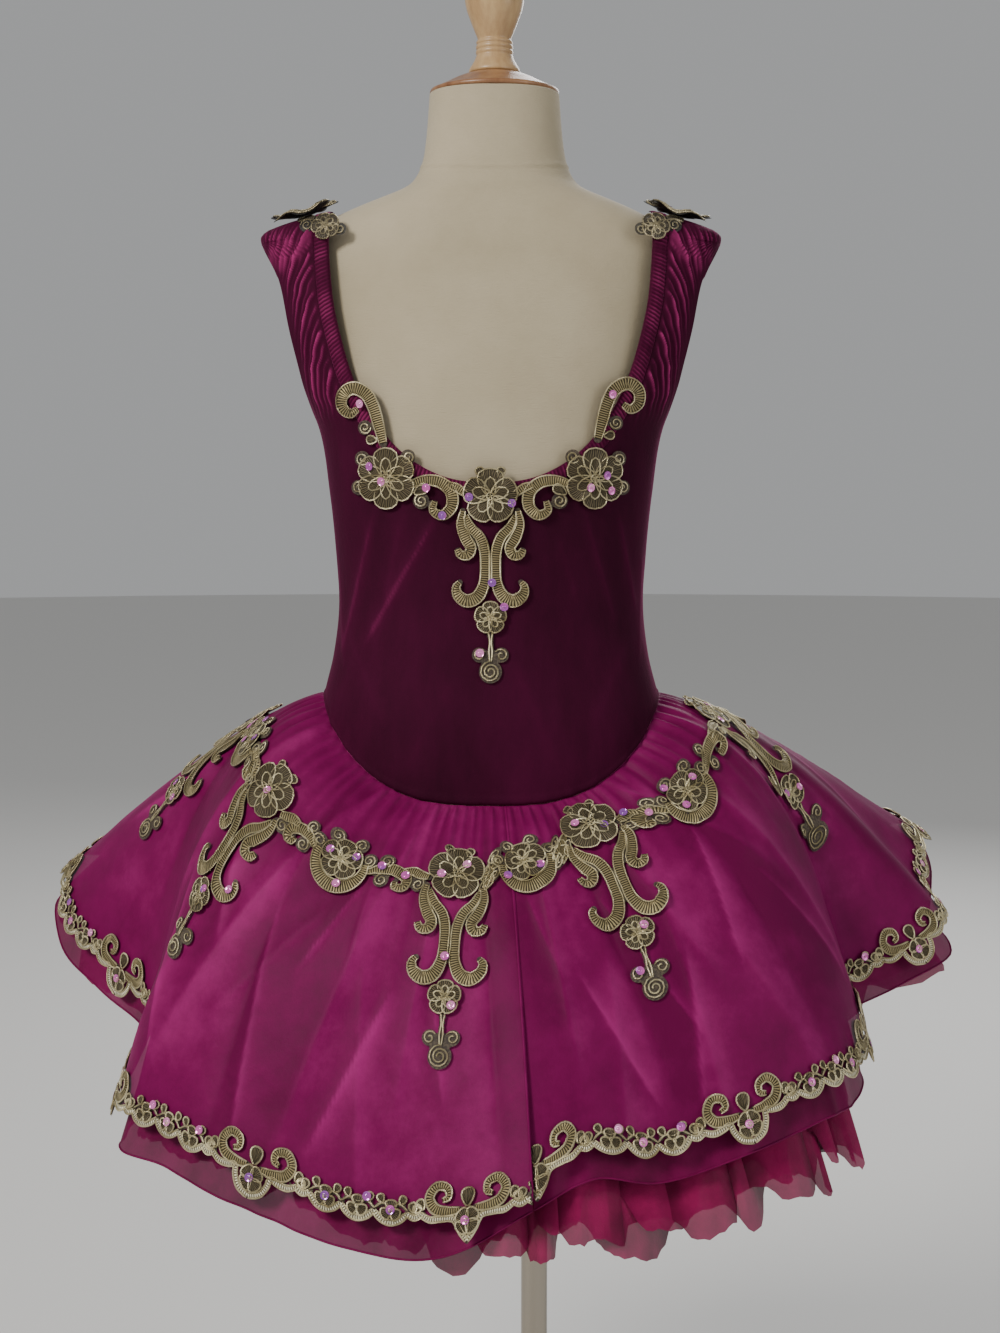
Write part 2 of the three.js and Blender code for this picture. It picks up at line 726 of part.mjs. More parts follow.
// A scroll from one station of the garland to the next, clear of both.
function scrollGrid(from, to) {
  const clear = ({ at, down, half }) => {
    const { point } = onSkirt(hemAt(at), at, 0, down);
    return THREE.MathUtils.radToDeg((half + SCROLL_CLEAR) / Math.hypot(point.x, point.y));
  };
  const edge = (side) => SCROLL.map((row) => {
    const degrees = lerp(from.at + clear(from), to.at - clear(to), row.share);
    const down = lerp(from.down, to.down, row.share) - row[side];
    return onSkirt(hemAt(degrees), degrees > 180 ? degrees - 360 : degrees, 0, down);
  });
  return [edge("high"), edge("low")];
}

const lobeTurn = turn(2 * ROSETTE.lobes);

function buildGarland() {
  PENDANTS.forEach(({ at, down }, i) => {
    const place = (x, row) => onSkirt(hemAt(at), at, x, down + row.down);
    const grid = PENDANT.map((row) =>
      [-row.half, -row.middle, row.middle, row.half].map((x) => place(x, row)));
    const open = (r, c) => c === 1 && PENDANT[r].open === 1;
    add("pendant_" + (i + 1), laceWall(grid, { open }), "lace");
  });
  ROSETTES.forEach(({ at, down }, i) => {
    const grid = [ROSETTE.hole, ROSETTE.radius].map((radius, ring) => lobeTurn.map((angle, k) => {
      const size = ring && k % 2 ? (1 - LOBE_DEPTH) * radius : radius;
      return onSkirt(hemAt(at), at, size * Math.cos(angle), down - size * Math.sin(angle));
    }));
    add("rosette_" + (i + 1), laceWall(grid, { ring: true }), "lace");
  });
  const stations = [
    ...PENDANTS.map((row) => ({ ...row, half: PENDANT_WIDEST })),
    ...ROSETTES.map((row) => ({ ...row, half: ROSETTE.radius })),
  ].sort((a, b) => a.at - b.at);
  stations.forEach((from, i) => {
    const to = stations[i + 1] ?? { ...stations[0], at: stations[0].at + 360 };
    add("scroll_" + (i + 1), laceWall(scrollGrid(from, to)), "lace");
  });
}

function buildBodiceLace() {
  const base = VELVET + LACE_LIFT;
  const skin = (offset) => solid(bodiceSolid(offset, turn(COARSE_TURN), COARSE_HEIGHTS, false));
  const sheet = skin(base + LACE).subtract(skin(base)).subtract(armholeBlocks());
  const upright = new THREE.Matrix4().makeRotationX(Math.PI / 2);
  const place = (outline, holes, x, z, mirror) => {
    const at = new THREE.Matrix4().makeTranslation(x, 0, z).multiply(upright);
    const points = (line) => (mirror ? line.map((p) => new THREE.Vector2(-p.x, p.y)).reverse() : line);
    return prism(points(outline), holes.map(points), 0, CUTTER, at);
  };
  const { flowerZ, rosetteX, rosetteZ, scrollX, scrollZ, commaX, commaZ } = NECK_LACE;
  const rosette = lobed(0, 0, ROSETTE.radius, ROSETTE.radius, ROSETTE.lobes, 2);
  const eye = lobed(0, 0, ROSETTE.hole, ROSETTE.hole, 3, 2);
  const pieces = [place(PENDANT_OUTLINE, PENDANT_HOLES, 0, flowerZ, false)];
  for (const side of [-1, 1]) {
    const mirror = side > 0;
    pieces.push(place(rosette, [eye], side * rosetteX, rosetteZ, mirror));
    pieces.push(place(plane(SCROLL_OUTLINE), [], side * scrollX, scrollZ, mirror));
    pieces.push(place(plane(COMMA), [], side * commaX, commaZ, mirror));
  }
  const outline = pieces.reduce((whole, piece) => whole.add(piece));
  const back = sheet.intersect(outline).subtract(scoopBlock(BACK_SCOOP, 0, -1));
  add("neck_lace", fromSolid(back), "lace");

  const { x, y, halfX, halfY, from } = SHOULDER_LACE;
  for (const [name, side] of [["left", -1], ["right", 1]]) {
    const block = prism(lobed(side * x, y, halfX, halfY, 8, 2), [], from, BODICE_TOP + 20, new THREE.Matrix4());
    add("shoulder_lace_" + name, fromSolid(sheet.intersect(block)), "lace");
  }
}

buildForm();
buildStand();
buildBodice();
buildSkirt();
buildGarland();
buildBodiceLace();

export default group;
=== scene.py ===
"""A child's ballet tutu on a limbless dress form, finished over its CAD frame.

Shapes are worked out in millimetres, +Z up, with the costume's back towards -Y, and go into the
meshes in metres. An angle round the body is in degrees from the back centre towards +X.
A grid of points has rows that go down and columns that go to the right, as seen from outside.
"""

import bmesh
import bpy
import numpy as np
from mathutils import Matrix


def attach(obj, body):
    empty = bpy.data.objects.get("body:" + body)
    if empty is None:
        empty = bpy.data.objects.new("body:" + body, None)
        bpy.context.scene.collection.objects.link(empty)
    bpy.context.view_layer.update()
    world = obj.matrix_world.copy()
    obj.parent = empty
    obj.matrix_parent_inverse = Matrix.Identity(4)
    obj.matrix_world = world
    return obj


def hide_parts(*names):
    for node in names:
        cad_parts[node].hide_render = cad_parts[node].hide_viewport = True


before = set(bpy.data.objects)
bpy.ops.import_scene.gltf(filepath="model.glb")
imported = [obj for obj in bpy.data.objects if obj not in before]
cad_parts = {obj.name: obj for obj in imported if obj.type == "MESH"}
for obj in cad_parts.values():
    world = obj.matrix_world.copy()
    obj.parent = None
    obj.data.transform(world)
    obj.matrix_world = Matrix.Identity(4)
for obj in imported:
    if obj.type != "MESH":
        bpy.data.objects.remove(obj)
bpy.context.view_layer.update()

# ------------------------------------------------------------------ sizes

SEAM_GAP = 0.3
VELVET = 2.0
CLOTH_EASE = 2.0
SQUARENESS = 2.3
NECK_TOP = 1158.0
NECK_LEAN = {"forward": 9.0, "from": 900.0}
NECK_SHIFT = {"right": 2.5, "from": 1050.0, "to": 1111.0}
FORM_BOTTOM = 600.0
COVER_SEAM = {"z": 1102.0, "sides": 5.0, "front": 4.0}  # round the root of the neck

# Height, half-width of the form, its half-depth, and half-width of the costume's inside.
SECTIONS = np.array([
    [600, 104, 82, 106], [645, 112, 89, 114], [690, 116, 92, 118], [735, 115, 90, 117],
    [775, 106, 83, 108], [810, 102, 78, 104], [845, 104, 77, 106], [885, 108, 79, 110],
    [930, 115, 81, 117], [965, 122, 80, 133], [1000, 127, 76, 147], [1035, 131, 69, 153],
    [1055, 133, 62, 156], [1063, 128, 59, 155], [1069, 119, 57, 142], [1075, 107, 55, 121],
    [1081, 94, 53, 98], [1087, 79, 51, 83], [1093, 64, 50, 69], [1099, 56, 48, 61],
    [1111, 50, 47, 55], [1128, 47, 45, 52], [1158, 44.5, 43, 48],
]).T

SEAM = {"side": 747.0, "back_drop": 64.0, "front_drop": 58.0, "roundness": 2.8}
SEAM_SECTION = {"depth": 92.0, "width": 118.0}

BAND_WIDTH = 9.0
BAND_RIB = 2.6
BAND_COLUMNS = 300
BAND_STITCHES = (2.2, 6.5)
SEAM_THREAD = 0.55
GATHERS = {"pitch": 8.8, "group": 23.0, "depth": 2.3, "low": (928, 962), "high": (1056, 1069)}
PANEL_LEVEL = 800
PANEL_STEP = 2.2
PANEL_FOOT_ROWS = 44
BACK_SCOOP = np.array([
    [893, 0], [895.5, 24], [901, 40], [910, 55], [922, 68], [940, 81], [960, 91], [985, 99],
    [1018, 106], [1077, 110], [1130, 111],
]).T
FRONT_SCOOP = np.array([
    [985, 0], [987, 26], [993, 48], [1003, 68], [1018, 85], [1038, 98], [1058, 106],
    [1077, 110], [1130, 111],
]).T
SHOULDER_LINE = 1074.9
ARMHOLE = {"z": 996.0, "height": 60.0, "width": 37.0, "forward": 2.0}

# The hem of each half of the skirt: angle, distance from the centre line, height.
SLIT_ANGLE = 6.0
LEFT_HEM = np.array([
    [-180, 246, 500], [-172, 250, 498], [-162, 282, 490], [-147, 252, 512], [-133, 300, 540],
    [-122, 312, 572], [-112, 338, 603], [-106, 340, 592], [-101, 326, 567], [-95, 290, 547],
    [-89, 256, 530], [-82, 240, 514], [-72, 254, 494], [-61, 277, 486], [-52, 266, 483],
    [-43, 258, 474], [-33, 247, 463], [-21, 237, 450], [-8, 235, 449], [6, 250, 466],
]).T
RIGHT_HEM = np.array([
    [6, 238, 478], [16, 234, 492], [26, 238, 486], [38, 254, 499], [50, 271, 513],
    [62, 275, 516], [74, 262, 529], [84, 253, 541], [88, 290, 555], [93, 330, 573],
    [99, 326, 594], [105, 340, 617], [112, 346, 628], [121, 316, 596], [131, 296, 548],
    [142, 304, 522], [154, 256, 508], [164, 278, 493], [172, 250, 498], [180, 246, 500],
]).T
INNER_HEM = np.concatenate([LEFT_HEM[:, :-1], RIGHT_HEM], axis=1)
BELOW_BODICE = 1.6
SLOPE = {"side": 8.0, "back": 35.0}
SLOPE_STEPS = 12
SHOULDER = 0.46
REACH = {"side": 318.0, "back": 256.0}
WAIST_GATHERS = {"count": 24, "height": 1.5, "end": 0.4}
HEM_AT = 0.985
UNDER_HEM_AT = 1.045
SKIRT_LENGTH = 260.0
DEGREE_WIDTH = 4.3  # of a degree on the skirt, halfway down
DEGREES_DOWN = 90  # as long as the way down
PLEATS = 96
ROLLS = {"slit": 0.8, "front": 0.7, "under": 0.7}
FRONT_LAP = {"under": 0.7, "tulle": 1.0}
COLUMN_STEP = {"over": 0.48, "under": 0.8, "tulle": 0.72}
INSET = {"under": (4, 9), "tulle": (10, 24)}  # below the skirt's surface, at the waist and the hem
TULLE_LENGTH = np.array([
    [-180, 1.06], [-110, 1.04], [-60, 1], [-20, 1], [0, 1.06], [14, 1.13], [40, 1.13],
    [60, 1.12], [82, 1.05], [110, 1.04], [180, 1.06],
]).T
LACE_BASE = 2.0  # from the overskirt's middle to the underside of its lace
TRIM_BASE = 1.4
BODICE_LACE_BASE = VELVET + 1.6
LACE_CORD = 0.55
TRIM_CORD = 0.62
NET_PITCH = 1.6
SEQUIN_LIFT = 1.9

PENDANTS = [(-142, 62), (-98, 60), (-61, 64), (-9, 60), (31, 34), (86, 42), (127, 60), (169, 62)]
ROSETTES = [(-165, 62), (-120, 62), (-80, 58), (-38, 66), (10, 50), (56, 50), (108, 60), (148, 62)]
PENDANT_HALF = 20.0
ROSETTE_RADIUS = 21.0
SCROLL_CLEAR = 1.0
SCROLL_REACH = 0.82  # of a motif's half-width, so that a scroll's ends lie under it
ROSETTE_TURNS = (8, -6, -12, 4, 10, -8, 6, -5)
TRIM = {"repeat": 140.0, "to_slit": 41.0, "from_slit": 3.0}
SHOULDER_LACE = {"x": 126.0, "y": -6.0, "frill": 5.5, "half_width": 22.0, "half_depth": 20.0}
SHOULDER_SEARCH = {"low": 1035.0, "high": 1090.0, "halvings": 26}
SHOULDER_FLAP = {"x": 110.0, "z": 1064.0}

POLE = {"x": 31.0, "radius": 9.5, "flange_radius": 30.0, "flange": 5.0}
BASE = {"radius": 150.0, "edge": 6.0, "collar_radius": 22.0, "collar_top": 24.0}


# ------------------------------------------------------------------ curves and fields

def lerp(low, high, share):
    return low + (high - low) * share


def ramp(low, high, value):
    """0 below low, 1 above high, and 3u^2 - 2u^3 between."""
    u = np.clip((value - low) / (high - low), 0, 1)
    return u * u * (3 - 2 * u)


def smooth(keys, values, at):
    """Cubic through the rows; the slope at a row is the slope between its two neighbours."""
    keys, values, at = (np.asarray(a, float) for a in (keys, values, at))
    place = np.arange(len(keys))
    low, high = np.maximum(place - 1, 0), np.minimum(place + 1, len(keys) - 1)
    slope = (values[high] - values[low]) / (keys[high] - keys[low])
    i = np.clip(np.searchsorted(keys, at) - 1, 0, len(keys) - 2)
    step = keys[i + 1] - keys[i]
    u = np.clip((at - keys[i]) / step, 0, 1)
    return (values[i] * (1 + 2 * u) * (1 - u) ** 2 + values[i + 1] * u * u * (3 - 2 * u)
            + slope[i] * step * u * (1 - u) ** 2 + slope[i + 1] * step * u * u * (u - 1))


def unit(vectors):
    return vectors / np.maximum(np.linalg.norm(vectors, axis=-1, keepdims=True), 1e-9)


def run_of(points):
    """Length along a line of points, from its first up to each of them."""
    return np.r_[0, np.cumsum(np.linalg.norm(np.diff(points, axis=0), axis=1))]


def circle(count):
    return np.linspace(0, 2 * np.pi, count, endpoint=False)


def joined(*values):
    """The values spread to one shape and put together in a last axis."""
    return np.stack(np.broadcast_arrays(*values), -1)


def wobble(value, seed, count=6, longest=90.0):
    """An uneven wave between about -1 and 1: sines of shorter and shorter length, seeded."""
    draw = np.random.default_rng(seed)
    lengths = longest / np.arange(1, count + 1) ** draw.uniform(0.8, 1.2, count)
    phases = draw.uniform(0, 2 * np.pi, count)
    total = sum(np.sin(2 * np.pi * value / length + phase) / (k + 1) ** 0.5
                for k, (length, phase) in enumerate(zip(lengths, phases)))
    return total / np.sqrt(count)


def crumple(x, y, seed, size, count):
    """Uneven low relief: |sin| ridges in seeded directions, sharpest at their crests."""
    draw = np.random.default_rng(seed)
    total = 0
    for _ in range(count):
        angle, phase = draw.uniform(0, np.pi), draw.uniform(0, 2 * np.pi)
        length, bend = size * draw.uniform(0.6, 1.8), draw.uniform(0.5, 1.5)
        along = x * np.cos(angle) + y * np.sin(angle)
        across = y * np.cos(angle) - x * np.sin(angle)
        wave = along / length + bend * np.sin(across / (1.7 * size) + phase)
        total = total + 1 - 2 * np.abs(np.sin(wave + phase)) ** 0.8
    return total / count


def creases(x, y, rows, painted_light_and_tone=False):
    """Sum of listed folds. A row is x, y of its top and bottom, width and height: the height
    times exp(-|distance| / width), which is sharp at its crest, faded over a fifth at each end.
    As painted light and shade it is lighter on one side of the crest and darker on the other."""
    total = np.zeros(np.broadcast(x, y).shape)
    for x0, y0, x1, y1, width, height in rows:
        dx, dy = x1 - x0, y1 - y0
        size = np.hypot(dx, dy)
        along = ((x - x0) * dx + (y - y0) * dy) / size ** 2
        across = ((x - x0) * dy - (y - y0) * dx) / size
        window = ramp(-0.1, 0.2, along) * (1 - ramp(0.8, 1.1, along))
        shape = np.exp(-np.abs(across) / width)
        if painted_light_and_tone:
            shape = np.tanh(across / (0.35 * width)) * np.exp(-np.abs(across) / (4 * width))
        total = total + height * window * shape
    return total


# ------------------------------------------------------------------ the body's surface

def half_width(z):
    """Of the costume's inside."""
    return smooth(SECTIONS[0], SECTIONS[3], z)


def half_depth(z):
    """Of the form."""
    return smooth(SECTIONS[0], SECTIONS[2], z)


def velvet_reach(z):
    """Half-width and half-depth of the bodice's outside."""
    return half_width(z) + VELVET, half_depth(z) + CLOTH_EASE + VELVET


def lean_at(z):
    """How far forward the middle of a section stands, from the chest up."""
    return NECK_LEAN["forward"] * ramp(NECK_LEAN["from"], NECK_TOP, z)


def shift_at(z):
    """How far to the right the middle of a section stands, by the neck."""
    return NECK_SHIFT["right"] * ramp(NECK_SHIFT["from"], NECK_SHIFT["to"], z)


def section_point(angle, z, wide, deep):
    """x = shift + a sgn(sin)|sin|^p and y = lean - b sgn(cos)|cos|^p, with p = 2 / squareness."""
    side, back, power = np.sin(angle), np.cos(angle), 2 / SQUARENESS
    x = shift_at(z) + wide * np.sign(side) * np.abs(side) ** power
    y = lean_at(z) - deep * np.sign(back) * np.abs(back) ** power
    return joined(x, y, z)


def form_point(angle, z):
    """On the form: the section with the form's own half-width and half-depth."""
    return section_point(angle, z, smooth(SECTIONS[0], SECTIONS[1], z), half_depth(z))


def cloth_point(angle, z, offset):
    """On the bodice, at an offset out from its inside: each half plus ease and offset."""
    return section_point(angle, z, half_width(z) + offset, half_depth(z) + CLOTH_EASE + offset)


def seam_height(angle):
    """The side's height less the drop times (1 - |sin|^roundness)."""
    drop = np.where(np.cos(angle) > 0, SEAM["back_drop"], SEAM["front_drop"])
    return SEAM["side"] - drop * (1 - np.abs(np.sin(angle)) ** SEAM["roundness"])


def angle_at(x, z, offset):
    """The angle (back half) at which the cloth's section has this x: sin = (x / a)^(1/p)."""
    share = (x - shift_at(z)) / (half_width(z) + offset)
    return np.arcsin(np.sign(share) * np.clip(np.abs(share), 0, 1) ** (SQUARENESS / 2))


# ------------------------------------------------------------------ the skirt's surface

def seam_angle(direction):
    """The section's angle that lies in a direction from the centre line."""
    def stretch(side, half):
        return np.sign(side) * np.abs(side * half) ** (SQUARENESS / 2)
    return np.arctan2(stretch(np.sin(direction), SEAM_SECTION["depth"]),
                      stretch(np.cos(direction), SEAM_SECTION["width"]))


def skirt_base(at, t, hem):
    """(1-t)^2 start + 2t(1-t) turning + t^2 end, and small gathers by the waist. The start is on
    the waist seam, the turning point outward from it, and the end on the hem."""
    at, t = np.broadcast_arrays(np.asarray(at, float), np.asarray(t, float))
    direction = np.radians(at)
    outward = np.stack([np.sin(direction), -np.cos(direction), np.zeros_like(direction)], -1)
    angle = seam_angle(direction)
    start = cloth_point(angle, seam_height(angle) - BELOW_BODICE, VELVET / 2)
    sideways = np.sin(direction) ** 2
    slope = np.radians(lerp(SLOPE["back"], SLOPE["side"], sideways))
    run = SHOULDER * (lerp(REACH["back"], REACH["side"], sideways) - (start * outward).sum(-1))
    turning = start + outward * run[..., None]
    turning[..., 2] -= run * np.tan(slope)
    end = outward * smooth(hem[0], hem[1], at)[..., None]
    end[..., 2] = smooth(hem[0], hem[2], at)
    fade = np.where(t < WAIST_GATHERS["end"], np.sin(np.pi * t / WAIST_GATHERS["end"]) ** 2, 0)
    gathers = WAIST_GATHERS["height"] * fade * np.cos(WAIST_GATHERS["count"] * direction)
    u = t[..., None]
    return start * (1 - u) ** 2 + turning * 2 * u * (1 - u) + end * u * u + outward * gathers[..., None]


def skirt_normal(at, t, hem, turn=0.5):
    """Outward: the way down crossed with the way round, both taken as differences."""
    down = skirt_base(at, t + 0.01, hem) - skirt_base(at, t - 0.01, hem)
    across = skirt_base(at + turn, t, hem) - skirt_base(at - turn, t, hem)
    return unit(np.cross(down, across))


# Folds of the overskirt: angle and share of the way down, at the top and the bottom end,
# then width in degrees and height.
FOLDS = [
    (-12, 0.03, -16, 0.80, 1.6, 2.2), (-22, 0.03, -34, 0.95, 2.2, 2.6),
    (-30, 0.05, -29, 0.55, 1.3, 1.8), (-40, 0.02, -58, 0.90, 2.0, 2.8),
    (-47, 0.10, -44, 0.99, 2.4, -2.2), (-3, 0.10, 2, 0.97, 2.4, -2.4), (-26, 0.55, -20, 1.00, 1.5, 1.7),
    (-55, 0.35, -66, 0.98, 1.8, 2.0), (-36, 0.45, -50, 0.78, 1.2, 1.5),
    (-68, 0.05, -75, 0.75, 2.6, 2.4), (-92, 0.05, -88, 0.80, 2.8, -2.2),
    (-104, 0.15, -112, 0.95, 2.5, 2.6), (-118, 0.04, -125, 0.88, 2.2, 2.3),
    (-133, 0.06, -128, 0.92, 2.6, -2.0), (-141, 0.05, -152, 0.85, 2.0, 2.6),
    (-158, 0.04, -163, 0.96, 2.3, 2.1), (-170, 0.10, -174, 0.90, 2.4, -2.3),
    (-149, 0.45, -143, 1.00, 1.5, 1.7), (12, 0.03, 15, 0.85, 1.8, 2.4), (22, 0.04, 30, 0.93, 2.0, -2.2),
    (30, 0.03, 42, 0.72, 1.8, 2.6), (38, 0.35, 36, 0.99, 1.6, 1.9), (44, 0.06, 63, 0.62, 1.7, 3.0),
    (52, 0.05, 55, 0.95, 2.6, -2.4), (60, 0.30, 71, 0.95, 2.0, 2.4), (72, 0.04, 80, 0.85, 2.4, 2.4),
    (90, 0.10, 92, 0.90, 2.8, -2.2), (101, 0.05, 108, 0.80, 2.3, 2.6), (116, 0.10, 121, 0.95, 2.5, 2.0),
    (128, 0.04, 133, 0.80, 2.2, -2.4), (139, 0.05, 147, 0.95, 2.1, 2.5),
    (155, 0.04, 158, 0.90, 2.4, 2.2), (168, 0.08, 172, 0.95, 2.2, -2.0), (46, 0.62, 52, 1.00, 1.3, 1.6),
    (24, 0.55, 21, 1.00, 1.4, 1.6),
]

# Pressed marks, narrow and straight, that the organza keeps from being folded.
FOLD_MARKS = [
    (-31, 0.35, -38, 0.62, 0.7, 1.0), (-20, 0.60, -29, 0.92, 0.7, 1.1),
    (-46, 0.50, -40, 0.98, 0.6, 0.9), (-60, 0.42, -54, 0.66, 0.9, 0.8), (-12, 0.55, -8, 0.80, 0.6, 0.8),
    (-70, 0.60, -58, 0.90, 0.7, 0.9), (26, 0.40, 36, 0.80, 0.7, 1.2), (38, 0.62, 33, 0.95, 0.8, 0.9),
    (18, 0.62, 27, 0.90, 0.6, 0.9), (52, 0.30, 46, 0.70, 0.6, 0.9), (58, 0.55, 68, 0.88, 0.7, 1.0),
    (9, 0.35, 14, 0.60, 0.6, 0.7), (78, 0.40, 88, 0.70, 0.7, 0.9), (104, 0.35, 98, 0.80, 0.7, 1.0),
    (122, 0.40, 130, 0.75, 0.7, 1.0), (150, 0.35, 143, 0.85, 0.7, 1.1),
    (166, 0.50, 172, 0.90, 0.6, 0.9), (-96, 0.40, -104, 0.75, 0.7, 1.0),
    (-122, 0.35, -115, 0.85, 0.7, 1.1), (-145, 0.40, -152, 0.80, 0.7, 1.0),
    (-168, 0.45, -161, 0.80, 0.6, 0.9),
]


def skirt_creases(at, t, rows, painted_light_and_tone=False):
    """Creases laid out in degrees round and shares down, which are scaled to be alike in length."""
    scaled = [(a, b * DEGREES_DOWN, c, d * DEGREES_DOWN, width, height)
              for a, b, c, d, width, height in rows]
    return creases(at, t * DEGREES_DOWN, scaled, painted_light_and_tone)


def skirt_crumple(at, t, seed, size, count=9):
    """Crumple with both lengths in millimetres on the cloth."""
    return crumple(at * DEGREE_WIDTH, t * SKIRT_LENGTH, seed, size, count)


def pleat_wave(at):
    """sin of PLEATS times the angle, whose phase wobbles."""
    return np.sin(np.radians(at) * PLEATS + 3 * wobble(at, 11))


def organza_relief(at, t):
    """Pleats that fade down from the waist, listed folds, and a crumple all over."""
    pleats = pleat_wave(at) + 0.6 * wobble(at, 12, 5, 7.0)
    falling = np.exp(-t / 0.16) * ramp(0, 0.02, t)
    fine = skirt_crumple(at, t, 21, 26) + 0.45 * skirt_crumple(at, t, 22, 11)
    return 1.1 * pleats * falling + skirt_creases(at, t, FOLDS) + skirt_creases(at, t, FOLD_MARKS) \
        + 0.9 * fine * ramp(0.1, 0.4, t)


def organza_painted_light_and_tone(at, t):
    """Painted light and shade on the folds and pleats, painted highlights on their crests, random clouds,
    and lighter by the slit.
    """
    # painted light and shade: lighter on one side of each fold and darker on the other
    steps = 0.055 * skirt_creases(at, t, FOLDS, True) + 0.20 * skirt_creases(at, t, FOLD_MARKS, True)
    # painted highlights on the crests of the pressed marks and the folds
    crests = 0.22 * skirt_creases(at, t, FOLD_MARKS) + 0.05 * skirt_creases(at, t, FOLDS)
    cloudy = 0.07 * skirt_crumple(at, t, 24, 55, 7) + 0.09 * skirt_crumple(at, t, 25, 18, 8)
    # painted light and shade on the pleats by the waist
    pleats = 0.10 * pleat_wave(at) * np.exp(-t / 0.2)
    by_slit = 0.12 * np.exp(-((at - 1.5) / 6) ** 2) * ramp(0.2, 0.5, t)
    return (steps + crests + cloudy + pleats + by_slit) * ramp(0.0, 0.1, t)


def over_point(at, t, hem, lift=0.0):
    """A point of the overskirt, or of what lies on it at a lift."""
    height = organza_relief(at, t) + lift
    return skirt_base(at, t, hem) + skirt_normal(at, t, hem) * np.asarray(height)[..., None]


def hem_for(at):
    return LEFT_HEM if at < SLIT_ANGLE or at > 180 else RIGHT_HEM


def slope_to(at, length, hem):
    """Goes down from the seam by a length in even steps, and gives the t that it comes to."""
    t = np.zeros(np.broadcast(at, length).shape)
    for _ in range(SLOPE_STEPS):
        pace = np.linalg.norm(skirt_base(at, t + 0.01, hem) - skirt_base(at, t, hem), axis=-1) / 0.01
        t = t + length / SLOPE_STEPS / pace
    return t


# ------------------------------------------------------------------ meshes

def grid_faces(rows, columns, keep=None, ring=False):
    """Quads of a grid, wound so that they face outward."""
    r, c = np.meshgrid(np.arange(rows - 1), np.arange(columns if ring else columns - 1), indexing="ij")
    after = (c + 1) % columns
    faces = np.stack([r * columns + c, (r + 1) * columns + c,
                      (r + 1) * columns + after, r * columns + after], -1)
    return faces[keep] if keep is not None else faces.reshape(-1, 4)


def grid_uv(points):
    """Lengths along the middle row and the middle column, in metres."""
    u = run_of(points[len(points) // 2])
    v = run_of(points[:, points.shape[1] // 2])
    return np.stack(np.meshgrid(u, -v), -1).reshape(-1, 2) / 1000


def sheet(points, ring=False):
    """A single layer of cloth through a grid of points."""
    return points.reshape(-1, 3), [grid_faces(*points.shape[:2], None, ring)], grid_uv(points), 0


def wall(outer, inner, keep=None):
    """A closed wall between two grids, with a rim round every edge of the cells that are kept."""
    rows, columns = outer.shape[:2]
    keep = np.ones((rows - 1, columns - 1), bool) if keep is None else keep
    front = grid_faces(rows, columns, keep)
    count = rows * columns
    around = np.pad(keep, 1)
    here = around[1:-1, 1:-1]
    r, c = np.meshgrid(np.arange(rows - 1), np.arange(columns - 1), indexing="ij")
    corner = {"a": r * columns + c, "b": (r + 1) * columns + c}
    corner.update(c=corner["b"] + 1, d=corner["a"] + 1)
    rims = []
    for beside, first, second in ((around[:-2, 1:-1], "d", "a"), (around[2:, 1:-1], "b", "c"),
                                  (around[1:-1, :-2], "a", "b"), (around[1:-1, 2:], "c", "d")):
        edge = here & ~beside
        start, end = corner[first][edge], corner[second][edge]
        rims.append(np.stack([start, start + count, end + count, end], -1))
    points = np.concatenate([outer.reshape(-1, 3), inner.reshape(-1, 3)])
    uv = np.concatenate([grid_uv(outer), grid_uv(outer)])
    return points, [front, front[:, ::-1] + count, *rims], uv, 0


def turned(rows, centre, count=96):
    """A turned solid: a profile of radius and height, top first, carried round a centre."""
    profile = np.asarray(rows, float)
    angle = circle(count)
    radius, z = profile[:, :1], profile[:, 1:]
    points = joined(centre[0] + radius * np.sin(angle), centre[1] - radius * np.cos(angle), z)
    return points.reshape(-1, 3), [grid_faces(len(profile), count, None, True)], grid_uv(points), 0


def rounded(rows, step):
    """The profile drawn as a smooth curve through its rows, in even steps of length."""
    rows = np.asarray(rows, float)
    along = run_of(rows)
    at = np.linspace(0, along[-1], max(int(along[-1] / step), 4) + 1)
    return np.stack([smooth(along, column, at) for column in rows.T], -1)


def cords(paths, radius, sides, slot=0):
    """Round cords along (points, normals): each ring is the point plus radius times
    (cos a normal + sin a side), thinner at both ends, which are closed by one face."""
    all_points, all_faces, caps, all_uv, start = [], [], [], [], 0
    angle = circle(sides)
    for points, normals in paths:
        along = unit(np.gradient(points, axis=0))
        side = unit(np.cross(along, normals))
        up = np.cross(side, along)
        thick = np.full(len(points), float(radius))
        thick[[0, -1]] *= 0.5
        ring = (up[:, None] * np.cos(angle)[:, None] + side[:, None] * np.sin(angle)[:, None])
        tube = points[:, None] + ring * thick[:, None, None]
        faces = grid_faces(len(points), sides, None, True)
        length = run_of(points) / 1000
        around = 2 * np.pi * radius / 1000 * np.arange(sides) / sides
        uv = joined(length[:, None], around)
        all_points.append(tube.reshape(-1, 3))
        all_uv.append(uv.reshape(-1, 2))
        all_faces.append(faces[:, ::-1] + start)
        last = start + (len(points) - 1) * sides
        caps += [np.arange(start, start + sides), np.arange(last, last + sides)[::-1]]
        start += tube.shape[0] * sides
    return np.concatenate(all_points), [np.concatenate(all_faces), np.array(caps)[:, ::-1]], \
        np.concatenate(all_uv), slot


